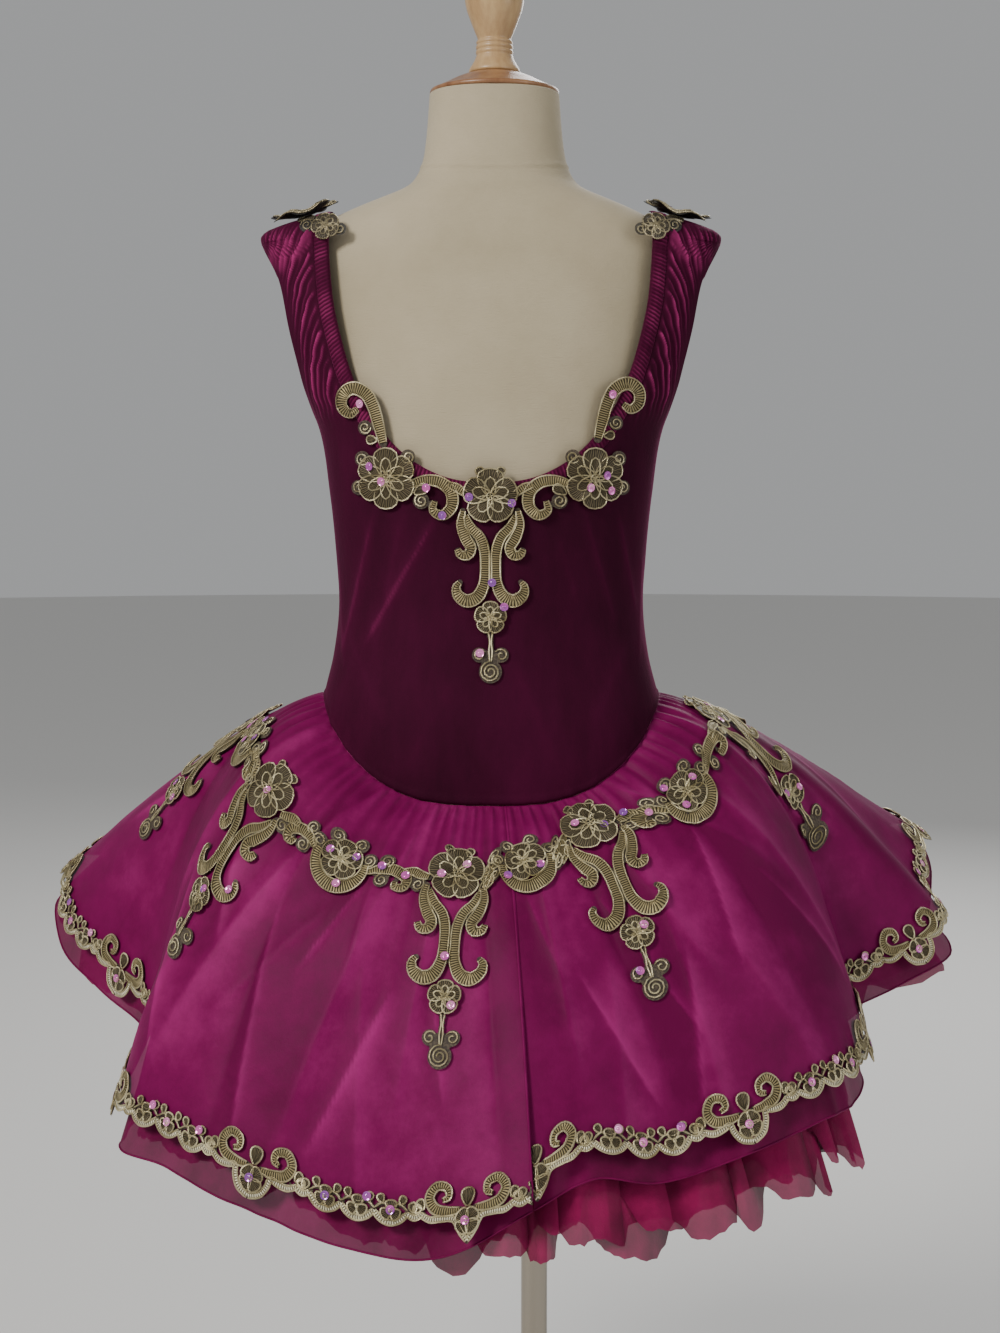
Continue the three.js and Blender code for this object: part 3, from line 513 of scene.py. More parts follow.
def build(name, parts, materials, merge=False, painted_light_and_tones=None):
    """One object from parts of (points in mm, lists of faces, uv, material slot). Values of painted
    light and of random variation, one for each point, are kept as an attribute that its material reads."""
    starts = np.cumsum([0] + [len(part[0]) for part in parts])
    points = np.concatenate([part[0] for part in parts]) / 1000
    uv = np.concatenate([part[2] for part in parts])
    lists = [(faces + start, part[3]) for part, start in zip(parts, starts)
             for faces in part[1] if len(faces)]
    corners = np.concatenate([faces.ravel() for faces, _ in lists]).astype(np.int32)
    sizes = np.concatenate([np.full(len(faces), faces.shape[1]) for faces, _ in lists])
    slots = np.concatenate([np.full(len(faces), slot) for faces, slot in lists]).astype(np.int32)
    mesh = bpy.data.meshes.new(name)
    mesh.vertices.add(len(points))
    mesh.vertices.foreach_set("co", points.astype(np.float32).ravel())
    mesh.loops.add(len(corners))
    mesh.loops.foreach_set("vertex_index", corners)
    mesh.polygons.add(len(sizes))
    mesh.polygons.foreach_set("loop_start", np.r_[0, np.cumsum(sizes)[:-1]].astype(np.int32))
    mesh.polygons.foreach_set("material_index", slots)
    mesh.polygons.foreach_set("use_smooth", np.ones(len(sizes), bool))
    layer = mesh.uv_layers.new(name="UVMap")
    layer.data.foreach_set("uv", uv[corners].astype(np.float32).ravel())
    mesh.update(calc_edges=True)
    for material in materials:
        mesh.materials.append(material)
    if painted_light_and_tones is not None:
        kept = mesh.attributes.new("painted_light_and_tone", "FLOAT", "POINT")
        values = np.zeros(len(points), np.float32)
        values[:painted_light_and_tones.size] = painted_light_and_tones.ravel()
        kept.data.foreach_set("value", values)
    if merge:
        work = bmesh.new()
        work.from_mesh(mesh)
        bmesh.ops.remove_doubles(work, verts=work.verts, dist=2e-6)
        bmesh.ops.dissolve_degenerate(work, edges=work.edges, dist=2e-6)
        work.to_mesh(mesh)
        work.free()
    piece = bpy.data.objects.new(name, mesh)
    bpy.context.scene.collection.objects.link(piece)
    return piece


def place(piece, slot, *nodes):
    """The piece rides the root body and takes the place of nodes. The slot is not used."""
    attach(piece, "root")
    if nodes:
        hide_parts(*nodes)
    return piece


# ------------------------------------------------------------------ materials

def shader_of(material):
    return material.node_tree.nodes["Principled BSDF"]


def fresh(name, colour, roughness, **sockets):
    """A material with a Principled shader, whose named sockets are set to constants."""
    made = bpy.data.materials.new(name)
    made.use_nodes = True
    shader = shader_of(made)
    shader.inputs["Base Color"].default_value = (*colour, 1)
    shader.inputs["Roughness"].default_value = roughness
    for key, value in sockets.items():
        shader.inputs[key.replace("_", " ")].default_value = value
    return made


def node(material, kind, values=None, **settings):
    made = material.node_tree.nodes.new(kind)
    for key, value in settings.items():
        setattr(made, key, value)
    for key, value in (values or {}).items():
        made.inputs[key].default_value = value
    return made


def link(material, source, output, target, socket):
    material.node_tree.links.new(source.outputs[output], target.inputs[socket])


def feed(material, field, target, socket):
    """Links a field: a texture's factor, or a sum's value."""
    link(material, field, "Fac" if "Fac" in field.outputs else "Value", target, socket)


def noise(material, scale, detail, stretch=(1, 1, 1), roughness=0.6):
    """Noise on a stretched copy of the object's coordinates."""
    place_of = node(material, "ShaderNodeTexCoord")
    mapping = node(material, "ShaderNodeMapping", {"Scale": stretch})
    made = node(material, "ShaderNodeTexNoise", {"Scale": scale, "Detail": detail, "Roughness": roughness})
    link(material, place_of, "Object", mapping, "Vector")
    link(material, mapping, "Vector", made, "Vector")
    return made


def wave(material, scale, direction, distortion):
    """Bands on the UV lengths."""
    place_of = node(material, "ShaderNodeTexCoord")
    made = node(material, "ShaderNodeTexWave", {"Scale": scale, "Distortion": distortion, "Detail": 1.0},
                bands_direction=direction)
    link(material, place_of, "UV", made, "Vector")
    return made


def tint(material, field, stops):
    """Colours along a field: stops of (place, colour) into Base Color."""
    ramp_node = node(material, "ShaderNodeValToRGB")
    elements = ramp_node.color_ramp.elements
    while len(elements) < len(stops):
        elements.new(0.5)
    for element, (at, colour) in zip(elements, stops):
        element.position = at
        element.color = (*colour, 1)
    feed(material, field, ramp_node, "Fac")
    link(material, ramp_node, "Color", shader_of(material), "Base Color")


def rough(material, field, low, high):
    """Roughness from low to high along a field."""
    spread = node(material, "ShaderNodeMapRange", {"To Min": low, "To Max": high})
    feed(material, field, spread, "Value")
    link(material, spread, "Result", shader_of(material), "Roughness")


def bump(material, fields, strength):
    """Relief from a chain of (field, height in metres)."""
    last = None
    for field, height in fields:
        made = node(material, "ShaderNodeBump", {"Strength": strength, "Distance": height})
        feed(material, field, made, "Height")
        if last is not None:
            link(material, last, "Normal", made, "Normal")
        last = made
    link(material, last, "Normal", shader_of(material), "Normal")


def toned(material, field, weight, stops):
    """The mesh's attribute of painted light and random variation, plus a weight of a noise, through a
    colour ramp, into Base Color.
    """
    kept = node(material, "ShaderNodeAttribute", attribute_name="painted_light_and_tone")
    scaled = node(material, "ShaderNodeMath", {1: weight}, operation="MULTIPLY")
    total = node(material, "ShaderNodeMath", operation="ADD")
    feed(material, field, scaled, 0)
    feed(material, scaled, total, 0)
    feed(material, kept, total, 1)
    tint(material, total, stops)


def linen_material():
    """Two tones in large clouds, with slubs along the weave and fine threads across."""
    made = fresh("linen_cover", (0.50, 0.43, 0.32), 0.92, Sheen_Weight=0.15, Sheen_Roughness=0.5)
    cloudy = noise(made, 7, 5)
    slubs = noise(made, 210, 3, (1, 1, 9))
    tint(made, cloudy, [(0.3, (0.38, 0.315, 0.200)), (0.7, (0.49, 0.415, 0.285))])
    threads = noise(made, 700, 2, (1, 1, 0.25))
    bump(made, [(slubs, 0.0005), (threads, 0.0002)], 0.6)
    return made


def velvet_material(name, dark, middle, light):
    """Wine velvet: lighter on the crests of its folds, a painted highlight from the mesh's attribute, and
    lighter at random where the pile has been brushed.
    """
    made = fresh(name, dark, 0.8, Sheen_Weight=0.35, Sheen_Roughness=0.25,
                 Sheen_Tint=(0.9, 0.12, 0.42, 1), Specular_IOR_Level=0.1)
    brushed = noise(made, 13, 6, (1, 1, 0.35), roughness=0.68)
    pile = noise(made, 900, 2)
    # the light colour is reached on the painted highlights of the crests
    toned(made, brushed, 0.5, [(0.16, dark), (0.34, middle), (0.9, light)])
    bump(made, [(brushed, 0.0016), (pile, 0.00035)], 0.6)
    return made


def organza_material(name, deep, middle, bright, alpha):
    """Sheer plain weave that keeps its creases: sharp ridges in the relief, and a soft gloss."""
    made = fresh(name, deep, 0.5, Alpha=alpha, Sheen_Weight=0.05, Sheen_Roughness=0.35,
                 Sheen_Tint=(1.0, 0.25, 0.65, 1), Specular_IOR_Level=0.08)
    ridged = noise(made, 11, 5, roughness=0.62)
    ridged.noise_type = "RIDGED_MULTIFRACTAL"
    patches = noise(made, 26, 6, roughness=0.7)
    threads = noise(made, 1200, 2, (1, 1, 0.2))
    # base colour from the mesh's painted light and shade, and random patches
    toned(made, patches, 0.6, [(0.08, deep), (0.30, middle), (0.72, bright)])
    rough(made, patches, 0.42, 0.62)
    bump(made, [(ridged, 0.0011), (patches, 0.0012), (threads, 0.00015)], 0.5)
    return made


def tulle_material(name, deep, middle, bright, alpha):
    """Sheer net: a colour by the mesh's painted light and shade with random variation and by patches, and a
    fine grain for its mesh.
    """
    made = fresh(name, deep, 0.7, Alpha=alpha, Sheen_Weight=0.05, Specular_IOR_Level=0.08)
    mesh_like = noise(made, 900, 1)
    patches = noise(made, 30, 5)
    toned(made, patches, 1.0, [(0.25, deep), (0.5, middle), (0.9, bright)])
    bump(made, [(mesh_like, 0.0004)], 0.7)
    return made


def cord_material(name, dark, light, metal):
    """Metal thread with a slanting twist, darker where it is tarnished."""
    made = fresh(name, dark, 0.42, Metallic=metal)
    twist = wave(made, 520, "DIAGONAL", 0.6)
    tarnish = noise(made, 55, 4)
    tint(made, tarnish, [(0.3, dark), (0.68, light)])
    rough(made, tarnish, 0.26, 0.46)
    bump(made, [(twist, 0.0003)], 0.8)
    return made


def weave_material(name, dark, light, metal):
    """Ribs of metal thread side by side, 1.5 mm apart, with dark between them."""
    made = fresh(name, dark, 0.5, Metallic=metal)
    ribs = wave(made, 209, "X", 0.8)
    tint(made, ribs, [(at, tuple(lerp(np.array(dark), np.array(light), share)))
                      for at, share in ((0.05, 0), (0.45, 0.55), (0.9, 1))])
    tarnish = noise(made, 60, 4)
    rough(made, tarnish, 0.38, 0.62)
    bump(made, [(ribs, 0.0005), (tarnish, 0.0003)], 0.9)
    return made


def net_material(name, dark, light, alpha):
    """A dark ground of net, with its mesh as a fine grain."""
    made = fresh(name, dark, 0.7, Alpha=alpha)
    mesh_like = noise(made, 700, 2)
    tint(made, mesh_like, [(0.4, dark), (0.62, light)])
    bump(made, [(mesh_like, 0.0005)], 0.8)
    return made


def wood_material(name, dark, light):
    """Grain that is long upward, under a thin coat of varnish."""
    made = fresh(name, light, 0.38, Coat_Weight=0.25, Coat_Roughness=0.25)
    grain = noise(made, 60, 6, (1, 1, 0.07), roughness=0.7)
    tint(made, grain, [(0.32, dark), (0.66, light)])
    rough(made, grain, 0.32, 0.5)
    bump(made, [(grain, 0.0003)], 0.5)
    return made


def metal_material():
    """Brushed upward, with a roughness that follows the brushing."""
    made = fresh("satin_chrome", (0.37, 0.33, 0.27), 0.24, Metallic=1.0)
    brushed = noise(made, 120, 3, (1, 1, 0.03))
    rough(made, brushed, 0.14, 0.3)
    bump(made, [(brushed, 0.00005)], 0.3)
    return made


def sequin_material():
    """Film that turns from violet to pink, from one sequin to the next."""
    made = fresh("sequin_film", (0.8, 0.3, 0.65), 0.12, Coat_Weight=0.6, Coat_Roughness=0.05,
                 Metallic=0.35)
    many = noise(made, 38, 1)
    tint(made, many, [(0.38, (0.30, 0.09, 0.42)), (0.5, (0.70, 0.13, 0.48)), (0.64, (0.88, 0.32, 0.62))])
    return made


LINEN = linen_material()
# The last colour of each velvet is reached on its painted highlights.
VELVET_CLOTH = velvet_material("wine_velvet", (0.030, 0.0006, 0.011), (0.058, 0.0013, 0.022),
                               (0.33, 0.026, 0.135))
BAND_CLOTH = velvet_material("shirred_velvet_band", (0.034, 0.0007, 0.012), (0.064, 0.0015, 0.024),
                             (0.30, 0.025, 0.12))
OVER_ORGANZA = organza_material("plum_organza", (0.118, 0.0002, 0.045), (0.175, 0.0016, 0.070),
                                (0.36, 0.022, 0.165), 0.95)
# The inner layer is the same organza in darker colours: painted shade, for the layer under the overskirt.
UNDER_ORGANZA = organza_material("plum_organza_inner_painted_shade", (0.090, 0.0004, 0.030), (0.160, 0.0020, 0.056),
                                 (0.28, 0.012, 0.110), 0.95)
TULLE = tulle_material("wine_tulle", (0.080, 0.0006, 0.019), (0.140, 0.0014, 0.036), (0.28, 0.0070, 0.076),
                       0.92)
GOLD_CORD = cord_material("antique_gold_cord", (0.32, 0.255, 0.125), (0.86, 0.77, 0.50), 0.85)
GOLD_WEAVE = weave_material("antique_gold_weave", (0.022, 0.015, 0.007), (0.38, 0.31, 0.155), 0.7)
GOLD_PETAL = weave_material("dark_gold_weave", (0.012, 0.008, 0.006), (0.16, 0.125, 0.065), 0.5)
GOLD_EDGE = weave_material("light_gold_weave", (0.12, 0.095, 0.050), (0.90, 0.84, 0.62), 0.6)
GOLD_NET = net_material("dark_gold_net", (0.030, 0.020, 0.014), (0.10, 0.075, 0.045), 0.92)
DARK_CORD = cord_material("dark_gold_cord", (0.15, 0.120, 0.065), (0.60, 0.52, 0.33), 0.8)
DARK_WEAVE = weave_material("black_gold_weave", (0.014, 0.011, 0.009), (0.13, 0.105, 0.065), 0.4)
DARK_NET = net_material("black_net", (0.012, 0.010, 0.010), (0.045, 0.040, 0.032), 0.85)
CAP_WOOD = wood_material("cap_wood", (0.17, 0.062, 0.022), (0.38, 0.19, 0.080))
FINIAL_WOOD = wood_material("finial_wood", (0.34, 0.185, 0.075), (0.56, 0.37, 0.175))
CHROME = metal_material()
SEQUIN = sequin_material()


# ------------------------------------------------------------------ dress form and stand

def build_form():
    """The form's sections with a cover seam round the root of the neck."""
    z = np.r_[np.linspace(NECK_TOP, 1060, 74), np.linspace(1057, FORM_BOTTOM + 6, 84)][:, None]
    angle = circle(112)[None]
    points = form_point(angle, z)
    in_front = (np.cos(angle) < 0) * np.cos(angle) ** 2
    seam_z = COVER_SEAM["z"] + COVER_SEAM["sides"] * np.sin(angle) ** 2 + COVER_SEAM["front"] * in_front
    across = z - seam_z
    ridge = 0.55 * np.exp(-((across - 1.6) / 1.6) ** 2) - 0.5 * np.exp(-(across / 0.8) ** 2)
    centre_seam = -0.45 * np.exp(-((angle - np.pi) * 90 / 1.4) ** 2) * (z < COVER_SEAM["z"])
    outward = unit(points - joined(2, 4 + 0 * angle, z))
    points = points + outward * (ridge + centre_seam)[..., None]
    foot = points[-1]
    middle = np.array([0, 0, FORM_BOTTOM])
    lower = [lerp(middle, foot * [1, 1, 0] + [0, 0, FORM_BOTTOM + up], share)
             for share, up in ((0.995, 3), (0.975, 1), (0.94, 0.2), (0.5, 0), (0.0001, 0))]
    top = points[0]
    crown = np.array([NECK_SHIFT["right"], NECK_LEAN["forward"], NECK_TOP])
    upper = [lerp(crown, top, share) for share in (0.0001, 0.6, 0.97)]
    whole = np.concatenate([np.stack(upper), points, np.stack(lower)])
    cover = place(build("form_cover", [sheet(whole, ring=True)], [LINEN]), "linen", "form_torso")

    centre = (NECK_SHIFT["right"], NECK_LEAN["forward"])
    foot_z = NECK_TOP + SEAM_GAP
    cap = rounded([(18.6, 14), (22, 12.9), (28, 10.4), (33.5, 7.6), (38.5, 5.2), (42.6, 3.4)], 0.8)
    rim = [(43.9, 2.9), (44.4, 1.8), (44.3, 0.6), (43.6, 0), (0.001, 0)]
    cap = np.concatenate([[(0.001, 14)], cap, rim])
    cap[:, 1] += foot_z
    place(build("neck_cap_turned", [turned(cap, centre)], [CAP_WOOD]), "wood", "form_neck_cap")

    knob = rounded([
        (0.001, 98.6), (3.2, 98.2), (6.6, 96.6), (8.0, 94), (7.4, 91.6), (8.2, 89.6), (12.5, 87),
        (17.2, 82.6), (20.4, 75), (20.6, 67), (19.2, 58), (16.4, 50), (13.6, 43), (11.8, 38.6),
        (11.4, 36.8),
    ], 0.7)
    rings = np.array([(12.2, 36.2), (12.6, 35.2), (12.2, 34.2), (11.9, 33.8), (12.5, 33.2), (12.8, 32.0),
                      (12.5, 30.8), (12.0, 30.3), (12.6, 29.8), (12.9, 28.6), (12.5, 27.4), (12.2, 26.9)])
    flare = rounded([(12.6, 26.2), (13.6, 23.5), (15.4, 20.4), (17.0, 17.8), (17.6, 16.2)], 0.7)
    knob = np.concatenate([knob, rings, flare, [(17.5, 15.2), (16.8, 14.5), (0.001, 14.4)]])
    knob[:, 1] += foot_z
    place(build("finial_turned", [turned(knob, centre, 64)], [FINIAL_WOOD]), "wood", "form_finial")
    return cover


def build_stand():
    """The pole with its flange, and the base with its collar: two profiles turned round."""
    top, foot = FORM_BOTTOM - SEAM_GAP, BASE["collar_top"] + SEAM_GAP
    radius, flange = POLE["radius"], POLE["flange_radius"]
    under = top - POLE["flange"]
    tube = [(0.001, top), (flange - 0.6, top), (flange, top - 0.6), (flange, under + 0.8),
            (flange - 0.8, under), (radius + 2.5, under - 0.4), (radius + 0.6, under - 1.8),
            (radius, under - 4)]
    tube += [(radius, z) for z in np.linspace(under - 12, foot + 4, 24)]
    tube += [(radius, foot + 0.4), (radius - 0.4, foot), (0.001, foot)]
    place(build("pole_tube", [turned(tube, (POLE["x"], 0), 64)], [CHROME]), "chrome", "stand_pole")
    rim, edge, collar, top = BASE["radius"], BASE["edge"], BASE["collar_radius"], BASE["collar_top"]
    plate = [(0.001, top), (collar - 7, top), (collar - 6, top - 0.3), (collar - 1, top - 3),
             (collar, top - 5), (collar + 0.4, edge + 8), (collar + 3, edge + 5),
             (collar + 8, edge + 3.6), (collar + 30, edge + 2.2), (rim - 10, edge + 0.2),
             (rim - 2, edge), (rim - 0.5, edge - 0.7), (rim, edge - 2), (rim, 1.2), (rim - 1.2, 0),
             (0.001, 0)]
    place(build("base_plate", [turned(plate, (POLE["x"], 0), 128)], [CHROME]), "chrome", "stand_base")


# ------------------------------------------------------------------ bodice

def scoop_curve(rows, count=240):
    """The neckline from its lowest point up one side: x, z, and the unit way out of the opening."""
    z, half = rows
    along = np.r_[0, np.cumsum(np.hypot(np.diff(z), np.diff(half)))]
    both = np.r_[-along[:0:-1], along]
    at = along[-1] * np.linspace(0, 1, count) ** 1.2
    x = smooth(both, np.r_[-half[:0:-1], half], at)
    height = smooth(both, np.r_[z[:0:-1], z], at)
    dx, dz = np.gradient(x, at), np.gradient(height, at)
    out = unit(np.stack([dz, -dx], -1))
    out[0] = (0, -1)
    return x, height, out


def scoop_half(rows, z, margin):
    """Half-width of the opening at a height, with the margin added."""
    x, height, out = scoop_curve(rows)
    half = np.interp(z, height + margin * out[:, 1], x + margin * out[:, 0])
    return np.where(z < height[0] - margin, 0, half)


BODICE_CREASES = [
    (-35, 872, -84, 786, 2.6, 1.3), (-78, 872, -100, 784, 2.4, 1.1), (-60, 868, -70, 815, 3.4, 0.6),
    (62, 875, 84, 800, 2.2, 0.6), (86, 872, 99, 806, 1.5, 0.8), (44, 860, 58, 815, 3.0, 0.3),
    (16, 775, 50, 695, 7.0, 0.35), (-24, 765, -58, 700, 8.0, 0.35), (94, 790, 66, 728, 6.0, 0.4),
    (-98, 795, -70, 732, 6.0, 0.4), (-104, 840, -100, 770, 2.6, 0.8), (103, 846, 101, 772, 2.6, 0.8),
]


def arm_distance(x, z):
    """How far the cloth at x is from the armhole's middle, as a share of the armhole's reach."""
    half, deep = velvet_reach(z)
    share = np.clip(1 - (np.clip(np.abs(x), 0, half) / half) ** SQUARENESS, 0, 1) ** (1 / SQUARENESS)
    return share * deep / (ARMHOLE["width"] + 9)


CAP_FOLDS = [
    (118, 1062, 131, 1040, 2.4, 0.9), (134, 1058, 141, 1034, 2.4, 0.8), (146, 1052, 150, 1036, 2.2, 0.6),
]


def velvet_relief(x, z, rows, facing):
    """Strap gathers that run down and outward from the neckline, and listed creases; with it a
    painted highlight: a value that is lighter on the crests."""
    half = scoop_half(rows, z, BAND_WIDTH)
    across = np.maximum(np.abs(x) - half, 0)
    uneven = 1.7 * wobble(z + np.sign(x) * 37 + facing * 51, 31, 5, 60)
    fall = z + 1.25 * across + 0.045 * across ** 2 + uneven
    fold = 1 - np.abs(np.sin(np.pi * fall / GATHERS["pitch"])) ** 0.9
    slow = 0.5 + 0.5 * np.sin(2 * np.pi * (fall + 3.0 * np.sin(z / 21)) / GATHERS["group"])
    rise = ramp(*GATHERS["low"], z) * (1 - ramp(*GATHERS["high"], z))
    out = ramp(0, 3, across) * (1 - 0.55 * ramp(26, 46, across))
    edge = np.hypot((z - ARMHOLE["z"]) / (ARMHOLE["height"] + 9), arm_distance(x, z))
    out = out * ramp(0.86, 1.12, edge) * ramp(66, 92, np.abs(x))
    gathers = (GATHERS["depth"] * fold * (0.4 + 0.6 * slow) + 0.9 * slow) * rise * out
    lines = creases(-facing * x, z, BODICE_CREASES)
    puckers = 0.55 * np.sin(x / 2.6 + 2 * wobble(x, 33, 4, 40)) * np.exp(-np.abs(z - seam_line(x)) / 6.0)
    broad = 0.7 * crumple(x + 60 * facing, z * 0.6, 35, 34, 6) * (1 - ramp(930, 960, z))
    cap = 1.6 * creases(np.abs(x), z, CAP_FOLDS)
    # painted highlight on the crests of the gathers
    crest = fold ** 1.5 * (0.25 + 0.75 * slow) * rise * out
    crest = crest * (0.7 + 0.3 * wobble(z + 3 * across, 37, 5, 44))
    # painted light: lighter where gathers, creases, crumple and cap folds stand up, darker in the crumple's
    # hollows
    painted_light_and_tone = 1.2 * crest + 0.18 * lines + 0.14 * broad + 0.25 * cap
    return gathers + lines + puckers + broad + cap, painted_light_and_tone


def seam_line(x):
    """Height of the waist seam below a point of the panel, from its distance to the middle."""
    share = np.clip(np.abs(x) / SEAM_SECTION["width"], 0, 1) ** (SQUARENESS / 2)
    return SEAM["side"] - SEAM["back_drop"] * (1 - share ** SEAM["roundness"])


def panel_heights(scoop_foot):
    """Rows of the panel, closer where the neckline and the armhole begin or end."""
    def even(start, end, count):
        return np.linspace(start, end, count, endpoint=False)

    def close(start, end, count):
        return start + (end - start) * even(0, 1, count) ** 2

    arm_low, arm_high = ARMHOLE["z"] - ARMHOLE["height"], ARMHOLE["z"] + ARMHOLE["height"]
    first, second = sorted([scoop_foot, arm_low])
    return np.concatenate([
        even(PANEL_LEVEL, first - 4, int((first - 4 - PANEL_LEVEL) / PANEL_STEP)),
        close(first - 4, first, 3),
        close(first, first + 14, 9),
        even(first + 14, second, int((second - first - 14) / PANEL_STEP) + 1),
        close(second, second + 12, 8),
        even(second + 12, arm_high - 12, 66),
        arm_high - 12 * even(1, 0, 8) ** 2,
        np.linspace(arm_high, SHOULDER_LINE, 19),
    ])


def build_panel(name, rows, facing, columns):
    """The panel's two halves run from the neckline (or the middle) to the side (or the armhole).
    Below PANEL_LEVEL its rows follow the waist seam."""
    foot = rows[0, 0] - BAND_WIDTH
    z = panel_heights(foot)[::-1, None]
    opening = scoop_half(rows, z, BAND_WIDTH)
    start = np.where(opening > 0, angle_at(opening, z, VELVET), 0)
    share = np.clip(np.abs((z - ARMHOLE["z"]) / ARMHOLE["height"]), 0, 1)
    depth = ARMHOLE["width"] * np.sqrt(1 - share ** 2)
    reach = depth - facing * (lean_at(z) - ARMHOLE["forward"]) * (share < 1)
    reach = reach / velvet_reach(z)[1]
    end = np.arccos(np.clip(reach, 0, 1) ** (SQUARENESS / 2))
    end = np.where(share < 1, end, np.pi / 2)
    start = np.minimum(start, end)
    u = np.linspace(0, 1, columns)[None]
    right = lerp(start, end, u)
    lower_share = np.linspace(0, 1, PANEL_FOOT_ROWS)[1:, None]
    low_angle = lerp(0, np.pi / 2, u)
    level = z[-1, 0]
    foot_z = seam_height(low_angle if facing < 0 else np.pi - low_angle) - BELOW_BODICE + SEAM_GAP
    low_z = lerp(level, foot_z, lower_share)
    angle = np.concatenate([right, np.broadcast_to(low_angle, low_z.shape)])
    height = np.concatenate([np.broadcast_to(z, right.shape), low_z])
    angle = np.concatenate([-angle[:, ::-1], angle], axis=1)
    height = np.concatenate([height[:, ::-1], height], axis=1)
    body_angle = angle if facing < 0 else np.pi - angle
    flat = cloth_point(body_angle, height, VELVET)
    relief, painted_light_and_tone = velvet_relief(flat[..., 0], height, rows, facing)
    foot_line = seam_height(body_angle) - BELOW_BODICE
    turned_edge = 0.8 * np.exp(-((height - foot_line - 2.6) / 1.5) ** 2)
    turned_edge = turned_edge - 0.5 * np.exp(-((height - foot_line) / 0.8) ** 2)
    outer = cloth_point(body_angle, height, VELVET + relief + turned_edge)
    inner = cloth_point(body_angle, height, 0.0)
    if facing > 0:
        outer, inner, painted_light_and_tone = (grid[:, ::-1] for grid in (outer, inner, painted_light_and_tone))
    keep = np.ones((outer.shape[0] - 1, outer.shape[1] - 1), bool)
    keep[:len(z) - 1, columns - 1] = opening[1:, 0] <= 0
    return build(name, [wall(outer, inner, keep)], [VELVET_CLOTH], merge=True, painted_light_and_tones=painted_light_and_tone)


def band_grid(rows, facing, offset, across):
    """The neckband: the neckline moved out by each width in across, on the cloth's surface.
    Near the shoulder the height nears its limit as (1 - s)^2.3, so that the points stay even."""
    x, z, out = scoop_curve(rows, 900)
    lines = []
    for width in across:
        at_x, at_z = x + width * out[:, 0], z + width * out[:, 1]
        last = np.argmax(at_x > half_width(at_z) + offset)
        top = at_z[last]
        knee = top - 12
        low = at_z < knee
        length = np.r_[0, np.cumsum(np.hypot(np.diff(at_x[low]), np.diff(at_z[low])))]
        even = np.linspace(0, length[-1], BAND_COLUMNS, endpoint=False)
        low_x, low_z = np.interp(even, length, at_x[low]), np.interp(even, length, at_z[low])
        high_z = top - (top - low_z[-1]) * (1 - np.linspace(0, 1, 31)[1:]) ** 2.3
        line_x = np.r_[low_x, np.interp(high_z, at_z, at_x)]
        line_z = np.r_[low_z, high_z]
        lines.append(np.stack([line_x, line_z], -1))
    half = np.stack(lines)
    mirrored = half[:, :0:-1] * [-1, 1]
    both = np.concatenate([mirrored, half], axis=1)
    angle = angle_at(both[..., 0], both[..., 1], offset)
    return both, (angle if facing < 0 else np.pi - angle)


def build_seam_thread(name, rows, facing):
    """A line of gathering thread that closes the gap between the neckband and the panel."""
    flat, angle = band_grid(rows, facing, VELVET, [BAND_WIDTH - SEAM_GAP / 2])
    points = cloth_point(angle[0], flat[0][:, 1], VELVET - SEAM_THREAD)
    away = unit(points * [1, 1, 0] - [2, 4, 0])
    return place(build(name, [cords([(points, away)], SEAM_THREAD, 5)], [BAND_CLOTH]), "velvet")


def build_band(name, rows, facing):
    """Elastic band, with ribs across it and two rows of stitches along it, and a painted highlight on the
    crests of its ribs in random patches.
    """
    across = np.linspace(0, BAND_WIDTH - SEAM_GAP, 9)
    flat, angle = band_grid(rows, facing, VELVET, across)
    middle = flat[len(across) // 2]
    along = run_of(middle)
    rib = np.abs(np.sin(np.pi * along / BAND_RIB)) ** 0.7
    edge = np.sin(np.pi * np.linspace(0.04, 0.96, len(across))) ** 0.35
    stitch = sum(np.exp(-((across - row) / 0.7) ** 2) for row in BAND_STITCHES)
    relief = (0.35 + 0.95 * rib[None]) * edge[:, None] - 0.35 * stitch[:, None] + 0.4 * edge[:, None]
    patchy = 0.5 + 0.5 * np.clip(wobble(along, 39, 6, 70) + 0.4, -1, 1)
    # painted highlight on the ribs' crests, patchy at random
    painted_light_and_tone = 0.55 * (rib ** 3 * patchy)[None] * edge[:, None]
    outer = cloth_point(angle, flat[..., 1], VELVET + relief - 0.4)
    inner = cloth_point(angle, flat[..., 1], 0.2)
    if facing > 0:
        outer, inner, painted_light_and_tone = (grid[:, ::-1] for grid in (outer, inner, painted_light_and_tone))
    return build(name, [wall(outer, inner)], [BAND_CLOTH], merge=True, painted_light_and_tones=painted_light_and_tone)


# ------------------------------------------------------------------ skirt layers

def half_columns(start, end, step):
    """Angles of a half's columns, a tenth of a degree in from both of its edges."""
    return np.linspace(start + 0.1, end - 0.1, int((end - start) / step) + 1)[None]


HALVES = [("left", LEFT_HEM, -180.0, SLIT_ANGLE), ("right", RIGHT_HEM, SLIT_ANGLE, 180.0)]


